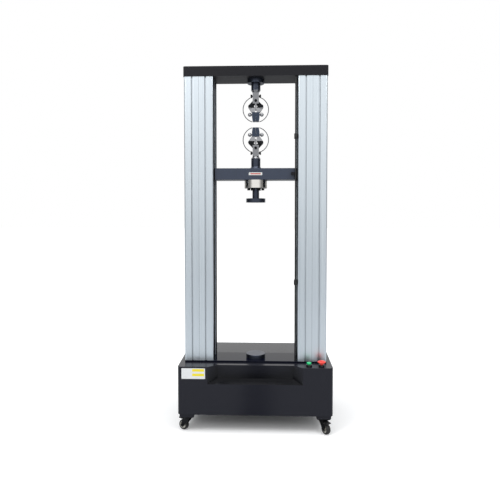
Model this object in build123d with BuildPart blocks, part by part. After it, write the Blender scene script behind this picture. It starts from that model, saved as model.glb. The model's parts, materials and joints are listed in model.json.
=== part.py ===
from build123d import *
import math
import os

# A floor-standing universal testing machine with two hollow columns, two ball screws, a moving
# crosshead, a compression space below the crosshead and pincer tensile grips above it.
# Millimetres. The origin is on the floor under the middle of the machine, +X is to the right
# of someone facing it, +Y is to the back and +Z is up.

# Base cover and the chassis inside it
base_width = 770.0
base_depth = 465.0
base_height = 240.0
base_lift = 94.0
base_corner = 20.0
cover_sheet = 3.0
cover_edge = 2.5
chassis_tube = 40.0
tray_sheet = 4.0

# Recess in the upper front edge of the base cover
notch_side = 148.0
notch_slant = 48.5
notch_depth = 36.5
notch_wall = 67.0
notch_drop = 86.0

# Table plate that the columns stand on
plate_rise = 8.0
plate_thickness = 30.0
front_ledge = 82.5

# Columns: aluminium extrusions with a slot down the inner side
side_ledge = 25.0
column_width = 150.0
column_depth = 150.0
column_height = 1437.0
column_wall = 5.0
column_corner = 8.0
column_slot = 64.0
groove_spacing = 68.0
groove_mouth = 8.0
groove_lip = 3.0
groove_pocket_width = 16.0
groove_pocket_depth = 6.0
groove_wall = 3.0
centre_line_width = 1.6
centre_line_depth = 1.0
slot_cover_sheet = 2.0

# Beam across the top of the columns
beam_thickness = 50.0
beam_overhang = 3.0
beam_corner = 10.0
beam_edge = 1.5

# Ball screws, guide rods and their bearings
screw_radius = 12.5
journal_radius = 9.0
guide_radius = 9.0
guide_spread = 38.0
bearing_radius = 27.0
bearing_height = 20.0
bearing_face_radius = 20.0
bearing_face_height = 6.0
running_gap = 0.08
seat_gap = 0.05

# Belt drive inside the base
pulley_radius = 40.0
motor_pulley_radius = 20.0
pulley_flange = 3.0
pulley_height = 22.0
pulley_rim = 2.0
belt_width = 16.0
belt_thickness = 3.0
belt_gap = 0.3
motor_inset = 112.5
motor_size = 110.0
motor_corner = 14.0
motor_lift = 14.0
motor_shaft_radius = 9.5
bracket_sheet = 8.0
bracket_width = 168.0
bracket_depth = 130.0
bracket_clearance = 3.0

# Crosshead
crosshead_height = 58.0
crosshead_depth = 110.0
crosshead_side_gap = 4.0
crosshead_edge = 2.0
neck_gap = 2.0
end_block_width = 100.0
nut_radius = 20.0
nut_flange_radius = 29.0
nut_flange_height = 9.0
nut_drop = 14.0
bushing_radius = 14.0
bushing_lip = 3.0

# Load cell and platens under and over the compression space
cell_radius = 57.5
cell_height = 42.0
cell_groove_height = 3.0
cell_groove_depth = 1.5
cell_bolt_circle = 36.5
cell_bolt_radius = 7.5
cell_bolt_height = 10.0
cell_bolt_count = 6
cell_socket_radius = 4.0
cell_socket_depth = 5.0
stem_radius = 17.5
stem_length = 52.0
platen_radius = 50.0
platen_height = 21.0
lower_platen_height = 20.0
platen_edge = 1.5

# Pincer grips: heights are measured from the tips of the jaws
tip_gap = 30.7
jaw_height = 47.0
jaw_taper = 24.0
jaw_half_width = 19.5
jaw_tip_half_width = 16.0
jaw_depth = 26.0
jaw_parting = 0.3
jaw_tooth_pitch = 2.0
jaw_tooth_depth = 1.0
jaw_tooth_count = 14
arm_foot_half_width = 22.0
arm_inner = 5.0
arm_foot_height = 10.0
arm_depth = 24.0
arm_heel_out = 12.5
arm_heel_up = 71.0
arm_heel_radius = 7.0
shoulder_out = 29.0
shoulder_up = 76.0
shoulder_radius = 10.0
shoulder_depth = 30.0
link_thickness = 9.0
link_gap = 0.3
pivot_up = 105.0
pivot_radius = 5.0
pivot_head_radius = 7.0
pivot_head_height = 4.0
eye_radius = 11.5
grip_width = 32.0
grip_depth = 34.0
grip_foot = 90.0
tongue_width = 8.0
tongue_foot = 62.0
grip_web = 118.0
grip_shoulder = 147.0
grip_cone_top = 158.6
cross_pin_up = 130.0
cross_pin_radius = 5.0
cap_radius = 9.0
cap_length = 8.0
cap_gap = 3.0
ring_radius = 65.5
ring_up = 62.5
ring_wire = 4.0
ring_cap_reach = 27.7
ring_jaw_reach = 18.6
knob_radius = 10.0
knob_up = 36.0
knob_stem_radius = 4.0
knob_stem_length = 3.5
knob_seat = 2.0
adapter_radius = 24.0
upper_adapter_length = 55.8
lower_adapter_length = 53.3
adapter_flange_radius = 44.0
adapter_flange_height = 21.0
adapter_foot_radius = 31.0
adapter_foot_height = 11.0

# Limit rod with its two clamping collars, beside the right column
limit_rod_radius = 4.0
limit_rod_inset = 8.0
limit_rod_forward = 11.0
limit_rod_gap = 0.4
upper_collar_rise = 158.0
lower_collar_rise = 402.0
collar_height = 24.0
collar_width = 15.0
collar_depth = 24.0
collar_face_gap = 0.5
collar_screw_radius = 5.5
collar_screw_length = 8.0
finger_height = 16.0
finger_length = 26.0

# Push buttons in the front ledge
button_inset = 86.0
button_spacing = 62.0
button_setback = 27.5
bezel_radius = 14.5
bezel_height = 10.0
bezel_barrel_radius = 11.0
bezel_barrel_depth = 18.0
bezel_nut_radius = 15.0
bezel_nut_height = 5.0
button_stem_radius = 8.0
button_gap = 0.4
button_stem_depth = 20.0
start_cap_radius = 11.5
start_cap_height = 6.0
start_travel = 4.0
stop_neck_radius = 13.5
stop_neck_height = 6.0
stop_head_radius = 20.0
stop_head_height = 9.0
stop_rim = 2.5
stop_travel = 6.0

# Rear service panel and mains inlet
panel_width = 420.0
panel_height = 150.0
panel_sheet = 2.0
panel_overlap = 15.0
panel_lift = 40.0
vent_length = 70.0
vent_height = 6.0
vent_pitch = 14.0
vent_count = 6
vent_x = 110.0
inlet_width = 48.0
inlet_height = 28.0
inlet_depth = 30.0
inlet_x = -140.0
inlet_flange = 5.0
inlet_well = 16.0
inlet_pin_spacing = 12.0

# Control box on the chassis tray
control_depth = 150.0
control_height = 110.0
control_side_gap = 35.0
control_back_gap = 16.0
control_motor_gap = 32.95
control_fins = 7
fin_height = 14.0
fin_thickness = 4.0

# Swivel casters
caster_side_inset = 45.0
caster_end_inset = 38.0
caster_trail = 24.0
caster_height = 79.0
caster_plate_size = 66.0
caster_plate_sheet = 3.0
caster_pad = 72.0
caster_bolt_spacing = 50.0
caster_bolt_radius = 5.0
caster_bolt_height = 3.0
race_radius = 22.0
race_height = 3.0
race_gap = 0.3
kingpin_radius = 5.0
wheel_radius = 25.0
wheel_width = 24.0
wheel_hub_radius = 17.0
wheel_hub_step = 2.5
wheel_boss_radius = 8.5
wheel_crown = 4.0
axle_radius = 4.0
axle_head_radius = 7.0
axle_head_height = 3.5
fork_sheet = 2.5
fork_gap = 1.0
fork_width = 38.0
fork_top_height = 9.0
fork_eye = 9.0
fork_web_height = 3.0
pedal_pivot_x = 13.0
pedal_pivot_z = 58.0
pedal_pivot_radius = 2.5
pedal_length = 35.0
pedal_thickness = 5.0
pedal_hub = 4.5
pedal_gap = 0.6
pedal_toe = 8.0

# Heights and places that follow from the sizes above
base_top = base_lift + base_height
base_front = -base_depth / 2
base_back = base_depth / 2
notch_front = base_width / 2 - notch_side
table_top = base_top + plate_rise
plate_bottom = table_top - plate_thickness
column_front = base_front + front_ledge
load_y = column_front + column_depth / 2
column_top = table_top + column_height
column_outer = base_width / 2 - side_ledge
column_inner = column_outer - column_width
profile_width = column_width - slot_cover_sheet
column_x = column_outer - profile_width / 2
adapter_bottom = column_top - upper_adapter_length
upper_tip = adapter_bottom - grip_cone_top
lower_tip = upper_tip - tip_gap
tip_middle = (upper_tip + lower_tip) / 2
adapter_top = lower_tip - grip_cone_top
crosshead_top = adapter_top - lower_adapter_length
crosshead_bottom = crosshead_top - crosshead_height
crosshead_middle = crosshead_bottom + crosshead_height / 2
cell_bottom = crosshead_bottom - cell_height
load_plane = Plane.XZ.offset(-load_y)
mirror_plane = Plane.XY.offset(tip_middle)
pulley_bottom = plate_bottom - chassis_tube - pulley_height - bracket_clearance
pulley_middle = pulley_bottom + pulley_height / 2
motor_y = base_back - motor_inset
button_x = base_width / 2 - button_inset
button_y = base_front + button_setback
caster_x = base_width / 2 - caster_side_inset
caster_y = base_depth / 2 - caster_end_inset
sides = (-1, 1)


def save(piece, label):
    """Names a finished piece and writes its file."""
    piece.label = label
    export_step(piece, f"parts/{label}.step")


# Base cover

def notch_solid(grow):
    """The recess in the front edge of the cover, made larger all round by grow."""
    wall_y = base_front + notch_depth + grow
    floor_z = base_top - notch_wall - grow
    lip_z = base_top - notch_drop - grow
    front_half = notch_front + grow
    back_half = notch_front - notch_slant + grow
    slant = notch_slant / (notch_depth + grow)
    far = base_corner
    with BuildPart() as recess:
        with BuildSketch(Plane.XY.offset(base_lift)):
            with BuildLine():
                Polyline(
                    (-back_half, wall_y),
                    (back_half, wall_y),
                    (front_half + slant * far, base_front - far),
                    (-front_half - slant * far, base_front - far),
                    close=True,
                )
            make_face()
        extrude(amount=base_height + far)
        with BuildSketch(Plane.YZ):
            with BuildLine():
                Polyline(
                    (wall_y, base_top + far),
                    (wall_y, floor_z),
                    (base_front, lip_z),
                    (base_front - far, lip_z),
                    (base_front - far, base_top + far),
                    close=True,
                )
            make_face()
        extrude(amount=base_width, both=True, mode=Mode.INTERSECT)
    return recess.part


with BuildPart() as cover_cavity:
    with BuildSketch(Plane.XY.offset(base_lift)):
        RectangleRounded(
            base_width - 2 * cover_sheet, base_depth - 2 * cover_sheet, base_corner - cover_sheet
        )
    extrude(amount=base_height - cover_sheet)
    add(notch_solid(cover_sheet), mode=Mode.SUBTRACT)

with BuildPart() as base_cover:
    with BuildSketch(Plane.XY.offset(base_lift)):
        RectangleRounded(base_width, base_depth, base_corner)
    extrude(amount=base_height)
    fillet(base_cover.faces().sort_by(Axis.Z)[-1].edges(), radius=cover_edge)
    add(notch_solid(0), mode=Mode.SUBTRACT)
    add(cover_cavity.part, mode=Mode.SUBTRACT)
    with BuildSketch(Plane.XY.offset(base_top)):
        with Locations((0, load_y)):
            Rectangle(2 * (column_outer + seat_gap), column_depth + 2 * seat_gap)
        with Locations((button_x, button_y)):
            with GridLocations(button_spacing, 0, 2, 1):
                Circle(bezel_barrel_radius + seat_gap)
    extrude(amount=-2 * cover_sheet, mode=Mode.SUBTRACT)
    with BuildSketch(Plane.XZ.offset(-base_back)):
        with Locations((0, base_lift + panel_lift + panel_height / 2)):
            Rectangle(panel_width - 2 * panel_overlap, panel_height - 2 * panel_overlap)
    extrude(amount=2 * cover_sheet, mode=Mode.SUBTRACT)
save(base_cover.part, "base_cover")

# Rear service panel: a flat plate with two rows of vents and the mains inlet
panel_middle = base_lift + panel_lift + panel_height / 2
with BuildPart() as rear_panel:
    with BuildSketch(Plane.XZ.offset(-base_back - panel_sheet)):
        with Locations((0, panel_middle)):
            RectangleRounded(panel_width, panel_height, cover_edge)
        with Locations((vent_x, panel_middle)):
            with GridLocations(vent_length + vent_pitch, vent_pitch, 2, vent_count):
                SlotOverall(vent_length, vent_height, mode=Mode.SUBTRACT)
        with Locations((inlet_x, panel_middle)):
            Rectangle(inlet_width + 2 * seat_gap, inlet_height + 2 * seat_gap, mode=Mode.SUBTRACT)
    extrude(amount=panel_sheet)
save(rear_panel.part, "rear_panel")

with BuildPart() as power_inlet:
    with BuildSketch(Plane.XZ.offset(-base_back - panel_sheet)):
        with Locations((inlet_x, panel_middle)):
            Rectangle(inlet_width, inlet_height)
    extrude(amount=inlet_depth)
    with BuildSketch(Plane.XZ.offset(-base_back - panel_sheet)):
        with Locations((inlet_x, panel_middle)):
            RectangleRounded(
                inlet_width + 2 * inlet_flange, inlet_height + 2 * inlet_flange, inlet_flange
            )
    extrude(amount=-panel_sheet)
    with BuildSketch(Plane.XZ.offset(-base_back - 2 * panel_sheet)):
        with Locations((inlet_x, panel_middle)):
            RectangleRounded(inlet_width - inlet_flange, inlet_height - inlet_flange, cover_edge)
    extrude(amount=inlet_well, mode=Mode.SUBTRACT)
    with BuildSketch(Plane.XZ.offset(-base_back - 2 * panel_sheet + inlet_well)):
        with Locations((inlet_x, panel_middle)):
            with GridLocations(inlet_pin_spacing, 0, 3, 1):
                Rectangle(panel_sheet, inlet_flange)
    extrude(amount=-inlet_well + panel_sheet)
save(power_inlet.part, "power_inlet")

# Chassis: a welded ring of tube with a tray, corner posts, rails under the table plate,
# caster pads and the stand that the motor hangs from
chassis_half_x = base_width / 2 - cover_sheet - seat_gap
chassis_half_y = base_depth / 2 - cover_sheet - seat_gap
post_x = chassis_half_x - chassis_tube
post_y = chassis_half_y - chassis_tube
rail_bottom = plate_bottom - chassis_tube
tray_top = base_lift + tray_sheet
bracket_top = pulley_bottom - bracket_clearance
bracket_bottom = bracket_top - bracket_sheet

with BuildPart() as chassis_frame:
    with BuildSketch(Plane.XY.offset(base_lift)):
        RectangleRounded(2 * chassis_half_x, 2 * chassis_half_y, base_corner - cover_sheet)
        Rectangle(
            2 * (chassis_half_x - chassis_tube),
            2 * (chassis_half_y - chassis_tube),
            mode=Mode.SUBTRACT,
        )
    extrude(amount=chassis_tube)
    with BuildSketch(Plane.XY.offset(base_lift)):
        Rectangle(2 * (chassis_half_x - chassis_tube), 2 * (chassis_half_y - chassis_tube))
    extrude(amount=tray_sheet)
    with BuildSketch(Plane.XY.offset(base_lift + chassis_tube)):
        with GridLocations(2 * post_x, 2 * post_y, 2, 2):
            Rectangle(chassis_tube, chassis_tube)
    extrude(amount=plate_bottom - base_lift - chassis_tube)
    with BuildSketch(Plane.XY.offset(rail_bottom)):
        with GridLocations(2 * post_x, 0, 2, 1):
            Rectangle(chassis_tube, 2 * post_y)
        with Locations((0, load_y)):
            with GridLocations(0, column_depth - chassis_tube, 1, 2):
                Rectangle(2 * post_x, chassis_tube)
    extrude(amount=chassis_tube)
    with BuildSketch(Plane.XY.offset(caster_height)):
        with GridLocations(2 * caster_x, 2 * caster_y, 2, 2):
            RectangleRounded(caster_pad, caster_pad - 2 * cover_edge, cover_edge)
    extrude(amount=base_lift - caster_height)
    with BuildSketch(Plane.XY.offset(tray_top)):
        with Locations((0, motor_y)):
            with GridLocations(bracket_width - bracket_sheet, 0, 2, 1):
                Rectangle(bracket_sheet, bracket_depth)
    extrude(amount=bracket_top - tray_top)
    with BuildSketch(Plane.XY.offset(bracket_bottom)):
        with Locations((0, motor_y)):
            Rectangle(bracket_width, bracket_depth)
            Circle(motor_shaft_radius + bracket_clearance, mode=Mode.SUBTRACT)
    extrude(amount=bracket_sheet)
save(chassis_frame.part, "chassis_frame")

# Table plate, with a clear hole for the lower end of each screw
with BuildPart() as table_plate:
    with BuildSketch(Plane.XY.offset(plate_bottom)):
        with Locations((0, load_y)):
            Rectangle(2 * column_outer, column_depth)
            with GridLocations(2 * column_x, 0, 2, 1):
                Circle(journal_radius + bracket_clearance, mode=Mode.SUBTRACT)
    extrude(amount=plate_thickness)
    chamfer(table_plate.faces().sort_by(Axis.Z)[-1].outer_wire().edges(), length=beam_edge)
save(table_plate.part, "table_plate")

# Columns: one hollow extrusion each, open down the inner side, with two T-grooves and a fine
# centre line on the front and on the back
groove_block = groove_lip + groove_pocket_depth + groove_wall
with BuildPart() as right_column:
    with BuildSketch(Plane.XY.offset(table_top)):
        with Locations((column_x, load_y)):
            RectangleRounded(profile_width, column_depth, column_corner)
            RectangleRounded(
                profile_width - 2 * column_wall,
                column_depth - 2 * column_wall,
                column_corner - column_wall,
                mode=Mode.SUBTRACT,
            )
            with Locations((-profile_width / 2 + column_wall / 2, 0)):
                Rectangle(2 * column_wall, column_slot, mode=Mode.SUBTRACT)
            for face in sides:
                with GridLocations(groove_spacing, 0, 2, 1):
                    with Locations((0, face * (column_depth - groove_block) / 2)):
                        Rectangle(groove_pocket_width + 2 * groove_wall, groove_block)
                    with Locations((0, face * (column_depth - groove_lip) / 2)):
                        Rectangle(groove_mouth, groove_lip, mode=Mode.SUBTRACT)
                    pocket = column_depth / 2 - groove_lip - groove_pocket_depth / 2
                    with Locations((0, face * pocket)):
                        Rectangle(groove_pocket_width, groove_pocket_depth, mode=Mode.SUBTRACT)
                with Locations((0, face * (column_depth - centre_line_depth) / 2)):
                    Rectangle(centre_line_width, centre_line_depth, mode=Mode.SUBTRACT)
    extrude(amount=column_height)
save(right_column.part, "right_column")

with BuildPart() as left_column:
    mirror(right_column.part, about=Plane.YZ)
save(left_column.part, "left_column")

# Black strips on the inner face of each column, in front of and behind its slot
strip_width = (column_depth - column_slot) / 2 - column_corner
with BuildPart() as column_slot_covers:
    with BuildSketch(Plane.XY.offset(table_top)):
        with Locations((0, load_y)):
            with GridLocations(
                2 * column_inner + slot_cover_sheet, column_slot + strip_width, 2, 2
            ):
                Rectangle(slot_cover_sheet, strip_width)
    extrude(amount=column_height)
save(column_slot_covers.part, "column_slot_covers")

# Top beam
with BuildPart() as top_beam:
    with BuildSketch(Plane.XY.offset(column_top)):
        with Locations((0, load_y)):
            RectangleRounded(
                2 * (column_outer + beam_overhang), column_depth + 2 * beam_overhang, beam_corner
            )
    extrude(amount=beam_thickness)
    chamfer(top_beam.faces().sort_by(Axis.Z)[-1].edges(), length=beam_edge)
save(top_beam.part, "top_beam")

# Guide rods, two in each column
with BuildPart() as guide_rods:
    with BuildSketch(Plane.XY.offset(table_top)):
        with Locations((0, load_y)):
            with GridLocations(2 * column_x, 2 * guide_spread, 2, 2):
                Circle(guide_radius)
    extrude(amount=column_height)
save(guide_rods.part, "guide_rods")

# Bearing housings at both ends of each screw: a broad foot with a narrower nose
with BuildPart() as screw_bearings:
    for foot, nose in (
        (table_top, table_top + bearing_height - bearing_face_height),
        (column_top - bearing_height + bearing_face_height, column_top - bearing_height),
    ):
        with BuildSketch(Plane.XY.offset(foot)):
            with Locations((0, load_y)):
                with GridLocations(2 * column_x, 0, 2, 1):
                    Circle(bearing_radius)
                    Circle(journal_radius + running_gap, mode=Mode.SUBTRACT)
        extrude(amount=bearing_height - bearing_face_height)
        with BuildSketch(Plane.XY.offset(nose)):
            with Locations((0, load_y)):
                with GridLocations(2 * column_x, 0, 2, 1):
                    Circle(bearing_face_radius)
                    Circle(journal_radius + running_gap, mode=Mode.SUBTRACT)
        extrude(amount=bearing_face_height)
save(screw_bearings.part, "screw_bearings")

# Ball screws: a threaded length between two plain journals, the lower one down to its pulley
screw_foot = table_top + bearing_height + seat_gap
screw_head = column_top - bearing_height - seat_gap
for name, side in (("left", -1), ("right", 1)):
    with BuildPart() as ball_screw:
        with BuildSketch(Plane.XY.offset(pulley_bottom)):
            with Locations((side * column_x, load_y)):
                Circle(journal_radius)
        extrude(amount=column_top - running_gap - pulley_bottom)
        with BuildSketch(Plane.XY.offset(screw_foot)):
            with Locations((side * column_x, load_y)):
                Circle(screw_radius)
        extrude(amount=screw_head - screw_foot)
    save(ball_screw.part, f"{name}_ball_screw")


def belt_pulley(radius, bore, x, y):
    """A belt pulley with a rim above and below the belt's track."""
    with BuildPart() as pulley:
        with BuildSketch(Plane.XY.offset(pulley_bottom)):
            with Locations((x, y)):
                Circle(radius)
                Circle(bore, mode=Mode.SUBTRACT)
        extrude(amount=pulley_height)
        for level in (pulley_bottom, pulley_bottom + pulley_height - pulley_rim):
            with BuildSketch(Plane.XY.offset(level)):
                with Locations((x, y)):
                    Circle(radius + pulley_flange)
                    Circle(bore, mode=Mode.SUBTRACT)
            extrude(amount=pulley_rim)
    return pulley.part


for name, side in (("left", -1), ("right", 1)):
    screw_pulley = belt_pulley(pulley_radius, journal_radius + seat_gap, side * column_x, load_y)
    save(screw_pulley, f"{name}_screw_pulley")
save(belt_pulley(motor_pulley_radius, motor_shaft_radius + running_gap, 0, motor_y), "motor_pulley")


def belt_outline(grow):
    """The belt's loop round the three pulleys, grow outside their tracks."""
    with BuildSketch() as loop:
        with Locations((-column_x, load_y), (column_x, load_y)):
            Circle(pulley_radius + grow)
        with Locations((0, motor_y)):
            Circle(motor_pulley_radius + grow)
        make_hull()
    return loop.sketch_local


with BuildPart() as timing_belt:
    with BuildSketch(Plane.XY.offset(pulley_middle - belt_width / 2)):
        add(belt_outline(belt_gap + belt_thickness))
        add(belt_outline(belt_gap), mode=Mode.SUBTRACT)
    extrude(amount=belt_width)
save(timing_belt.part, "timing_belt")

# Motor: a square body hung under its stand, with its shaft up through the stand
with BuildPart() as motor:
    with BuildSketch(Plane.XY.offset(tray_top + motor_lift)):
        with Locations((0, motor_y)):
            RectangleRounded(motor_size, motor_size, motor_corner)
    extrude(amount=bracket_bottom - tray_top - motor_lift)
    with BuildSketch(Plane.XY.offset(bracket_bottom)):
        with Locations((0, motor_y)):
            Circle(motor_shaft_radius)
    extrude(amount=pulley_bottom + pulley_height - bracket_bottom)
save(motor.part, "motor")

# Control box: a closed case with cooling fins on its lid
control_left = bracket_width / 2 + control_motor_gap
control_right = chassis_half_x - chassis_tube - control_side_gap
control_width = control_right - control_left
control_x = (control_left + control_right) / 2
control_y = chassis_half_y - chassis_tube - control_back_gap - control_depth / 2
with BuildPart() as controller_box:
    with BuildSketch(Plane.XY.offset(tray_top)):
        with Locations((control_x, control_y)):
            RectangleRounded(control_width, control_depth, cover_edge)
    extrude(amount=control_height - fin_height)
    with BuildSketch(Plane.XY.offset(tray_top + control_height - fin_height)):
        with Locations((control_x, control_y)):
            with GridLocations(0, control_depth / control_fins, 1, control_fins):
                Rectangle(control_width - 2 * fin_height, fin_thickness)
    extrude(amount=fin_height)
save(controller_box.part, "controller_box")

# Crosshead: one beam, narrowed where it passes through the column slots, with an end block
# inside each column that carries the ball nut and two bushes
beam_half = column_inner - crosshead_side_gap
neck_depth = column_slot - 2 * neck_gap
with BuildPart() as crosshead_beam:
    with BuildSketch(Plane.XY.offset(crosshead_bottom)):
        with Locations((0, load_y)):
            Rectangle(2 * beam_half, crosshead_depth)
            Rectangle(2 * column_x, neck_depth)
            with GridLocations(2 * column_x, 0, 2, 1):
                Rectangle(end_block_width, crosshead_depth)
                Circle(nut_radius + seat_gap, mode=Mode.SUBTRACT)
            with GridLocations(2 * column_x, 2 * guide_spread, 2, 2):
                Circle(bushing_radius + seat_gap, mode=Mode.SUBTRACT)
    extrude(amount=crosshead_height)
    long_edges = crosshead_beam.edges().filter_by(Axis.X).filter_by_position(
        Axis.Y, load_y - crosshead_depth, load_y + crosshead_depth
    )
    chamfer(long_edges.filter_by(lambda edge: edge.length > column_inner), length=crosshead_edge)
save(crosshead_beam.part, "crosshead_beam")

# Ball nuts, each with a flange under its end block
with BuildPart() as ball_nuts:
    with BuildSketch(Plane.XY.offset(crosshead_bottom - nut_drop)):
        with Locations((0, load_y)):
            with GridLocations(2 * column_x, 0, 2, 1):
                Circle(nut_radius)
                Circle(screw_radius + running_gap, mode=Mode.SUBTRACT)
    extrude(amount=crosshead_height + nut_drop)
    with BuildSketch(Plane.XY.offset(crosshead_bottom - nut_flange_height)):
        with Locations((0, load_y)):
            with GridLocations(2 * column_x, 0, 2, 1):
                Circle(nut_flange_radius)
                Circle(screw_radius + running_gap, mode=Mode.SUBTRACT)
            with GridLocations(2 * column_x, 2 * guide_spread, 2, 2):
                Circle(bushing_radius + bushing_lip, mode=Mode.SUBTRACT)
    extrude(amount=nut_flange_height)
save(ball_nuts.part, "ball_nuts")

# Guide bushes, each with a lip on top of its end block
with BuildPart() as guide_bushings:
    with BuildSketch(Plane.XY.offset(crosshead_bottom)):
        with Locations((0, load_y)):
            with GridLocations(2 * column_x, 2 * guide_spread, 2, 2):
                Circle(bushing_radius)
                Circle(guide_radius + running_gap, mode=Mode.SUBTRACT)
    extrude(amount=crosshead_height)
    with BuildSketch(Plane.XY.offset(crosshead_top)):
        with Locations((0, load_y)):
            with GridLocations(2 * column_x, 2 * guide_spread, 2, 2):
                Circle(bushing_radius + bushing_lip)
                Circle(guide_radius + running_gap, mode=Mode.SUBTRACT)
    extrude(amount=bushing_lip)
save(guide_bushings.part, "guide_bushings")

# Load cell: a round spool with a groove round it
with BuildPart() as load_cell:
    with BuildSketch(Plane.XY.offset(cell_bottom)):
        with Locations((0, load_y)):
            Circle(cell_radius)
    extrude(amount=cell_height)
    with BuildSketch(Plane.XY.offset(cell_bottom + (cell_height - cell_groove_height) / 2)):
        with Locations((0, load_y)):
            Circle(cell_radius)
            Circle(cell_radius - cell_groove_depth, mode=Mode.SUBTRACT)
    extrude(amount=cell_groove_height, mode=Mode.SUBTRACT)
    cell_rims = load_cell.edges().filter_by(GeomType.CIRCLE).group_by(Axis.Z)
    chamfer(cell_rims[0], length=beam_edge)
save(load_cell.part, "load_cell")

# Hexagon-socket bolt heads under the load cell
with BuildPart() as load_cell_bolts:
    with BuildSketch(Plane.XY.offset(cell_bottom)):
        with Locations((0, load_y)):
            with PolarLocations(cell_bolt_circle, cell_bolt_count):
                Circle(cell_bolt_radius)
    extrude(amount=-cell_bolt_height)
    with BuildSketch(Plane.XY.offset(cell_bottom - cell_bolt_height)):
        with Locations((0, load_y)):
            with PolarLocations(cell_bolt_circle, cell_bolt_count):
                RegularPolygon(cell_socket_radius, 6)
    extrude(amount=cell_socket_depth, mode=Mode.SUBTRACT)
save(load_cell_bolts.part, "load_cell_bolts")

# Upper platen on its stem, and lower platen on the table plate
platen_top = cell_bottom - stem_length
with BuildPart() as upper_platen:
    with BuildSketch(Plane.XY.offset(platen_top)):
        with Locations((0, load_y)):
            Circle(stem_radius)
    extrude(amount=stem_length)
    with BuildSketch(Plane.XY.offset(platen_top - platen_height)):
        with Locations((0, load_y)):
            Circle(platen_radius)
    extrude(amount=platen_height)
    platen_rims = upper_platen.edges().filter_by(
        lambda edge: edge.geom_type == GeomType.CIRCLE and edge.radius == platen_radius
    )
    chamfer(platen_rims, length=platen_edge)
save(upper_platen.part, "upper_platen")

with BuildPart() as lower_platen:
    with BuildSketch(Plane.XY.offset(table_top)):
        with Locations((0, load_y)):
            Circle(platen_radius)
    extrude(amount=lower_platen_height)
    chamfer(lower_platen.faces().sort_by(Axis.Z)[-1].edges(), length=platen_edge)
save(lower_platen.part, "lower_platen")

# Adapters that carry the grips
with BuildPart() as upper_adapter:
    with BuildSketch(Plane.XY.offset(adapter_bottom)):
        with Locations((0, load_y)):
            Circle(adapter_radius)
    extrude(amount=column_top - adapter_bottom)
    with BuildSketch(Plane.XY.offset(column_top - adapter_flange_height)):
        with Locations((0, load_y)):
            Circle(adapter_flange_radius)
    extrude(amount=adapter_flange_height)
    flange_rim = upper_adapter.edges().filter_by(
        lambda edge: edge.geom_type == GeomType.CIRCLE and edge.radius == adapter_flange_radius
    )
    chamfer(flange_rim.sort_by(Axis.Z)[0], length=platen_edge)
save(upper_adapter.part, "upper_adapter")

with BuildPart() as lower_adapter:
    with BuildSketch(Plane.XZ.offset(-load_y)):
        with BuildLine():
            Polyline(
                (0, crosshead_top),
                (adapter_foot_radius, crosshead_top),
                (adapter_radius, crosshead_top + adapter_foot_height),
                (adapter_radius, adapter_top),
                (0, adapter_top),
                close=True,
            )
        make_face()
    revolve(axis=Axis((0, load_y, 0), (0, 0, 1)))
save(lower_adapter.part, "lower_adapter")

# Grip body: a fork whose cheeks hold the pivot bolt, under a short cone. A narrow tongue on
# each cheek reaches down between the arms.
with BuildPart() as upper_grip_body:
    with BuildSketch(load_plane):
        with BuildLine():
            Polyline(
                (0, upper_tip + grip_web),
                (grip_width / 2, upper_tip + grip_web),
                (grip_width / 2, upper_tip + grip_shoulder),
                (adapter_radius, upper_tip + grip_cone_top),
                (0, upper_tip + grip_cone_top),
                close=True,
            )
        make_face()
    revolve(axis=Axis((0, load_y, 0), (0, 0, 1)))
    with BuildSketch(load_plane):
        with Locations((0, upper_tip + (grip_foot + grip_shoulder) / 2)):
            Rectangle(grip_width, grip_shoulder - grip_foot)
        with Locations((0, upper_tip + (tongue_foot + grip_web) / 2)):
            SlotCenterToCenter(grip_web - tongue_foot, tongue_width, rotation=90)
    extrude(amount=grip_depth / 2, both=True)
    with BuildSketch(load_plane):
        with Locations((0, upper_tip + (tongue_foot - tongue_width + grip_web) / 2)):
            Rectangle(grip_width, grip_web - tongue_foot + tongue_width)
    extrude(amount=link_thickness + 2 * link_gap, both=True, mode=Mode.SUBTRACT)
    with BuildSketch(load_plane):
        with Locations((0, upper_tip + pivot_up)):
            Circle(pivot_radius + seat_gap)
    extrude(amount=grip_depth, both=True, mode=Mode.SUBTRACT)
    with BuildSketch(Plane.YZ):
        with Locations((load_y, upper_tip + cross_pin_up)):
            Circle(cross_pin_radius + seat_gap)
    extrude(amount=grip_width, both=True, mode=Mode.SUBTRACT)
save(upper_grip_body.part, "upper_grip_body")

# Pivot bolt with its heads, and the cross pin with a cap at each end
cap_inner = grip_width / 2 + cap_gap
with BuildPart() as upper_grip_pins:
    with BuildSketch(load_plane):
        with Locations((0, upper_tip + pivot_up)):
            Circle(pivot_radius)
    extrude(amount=grip_depth / 2 + pivot_head_height, both=True)
    for side in sides:
        with BuildSketch(load_plane.offset(side * grip_depth / 2)):
            with Locations((0, upper_tip + pivot_up)):
                Circle(pivot_head_radius)
        extrude(amount=side * pivot_head_height)
    with BuildSketch(Plane.YZ):
        with Locations((load_y, upper_tip + cross_pin_up)):
            Circle(cross_pin_radius)
    extrude(amount=cap_inner, both=True)
    for side in sides:
        with BuildSketch(Plane.YZ.offset(side * cap_inner)):
            with Locations((load_y, upper_tip + cross_pin_up)):
                Circle(cap_radius)
        extrude(amount=side * cap_length)
save(upper_grip_pins.part, "upper_grip_pins")

# Ring springs: one bent wire on each side, from the cross pin's cap to the tip of the jaw
ring_start = math.degrees(math.acos(ring_cap_reach / ring_radius))
ring_end = -math.degrees(math.acos(ring_jaw_reach / ring_radius))
with BuildPart() as upper_grip_springs:
    with BuildLine(load_plane) as ring_path:
        CenterArc((0, upper_tip + ring_up), ring_radius, ring_start, ring_end - ring_start)
    with BuildSketch(Plane(origin=ring_path.line @ 0, z_dir=ring_path.line % 0)):
        Circle(ring_wire / 2)
    sweep()
    mirror(about=Plane.YZ)
save(upper_grip_springs.part, "upper_grip_springs")

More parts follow.
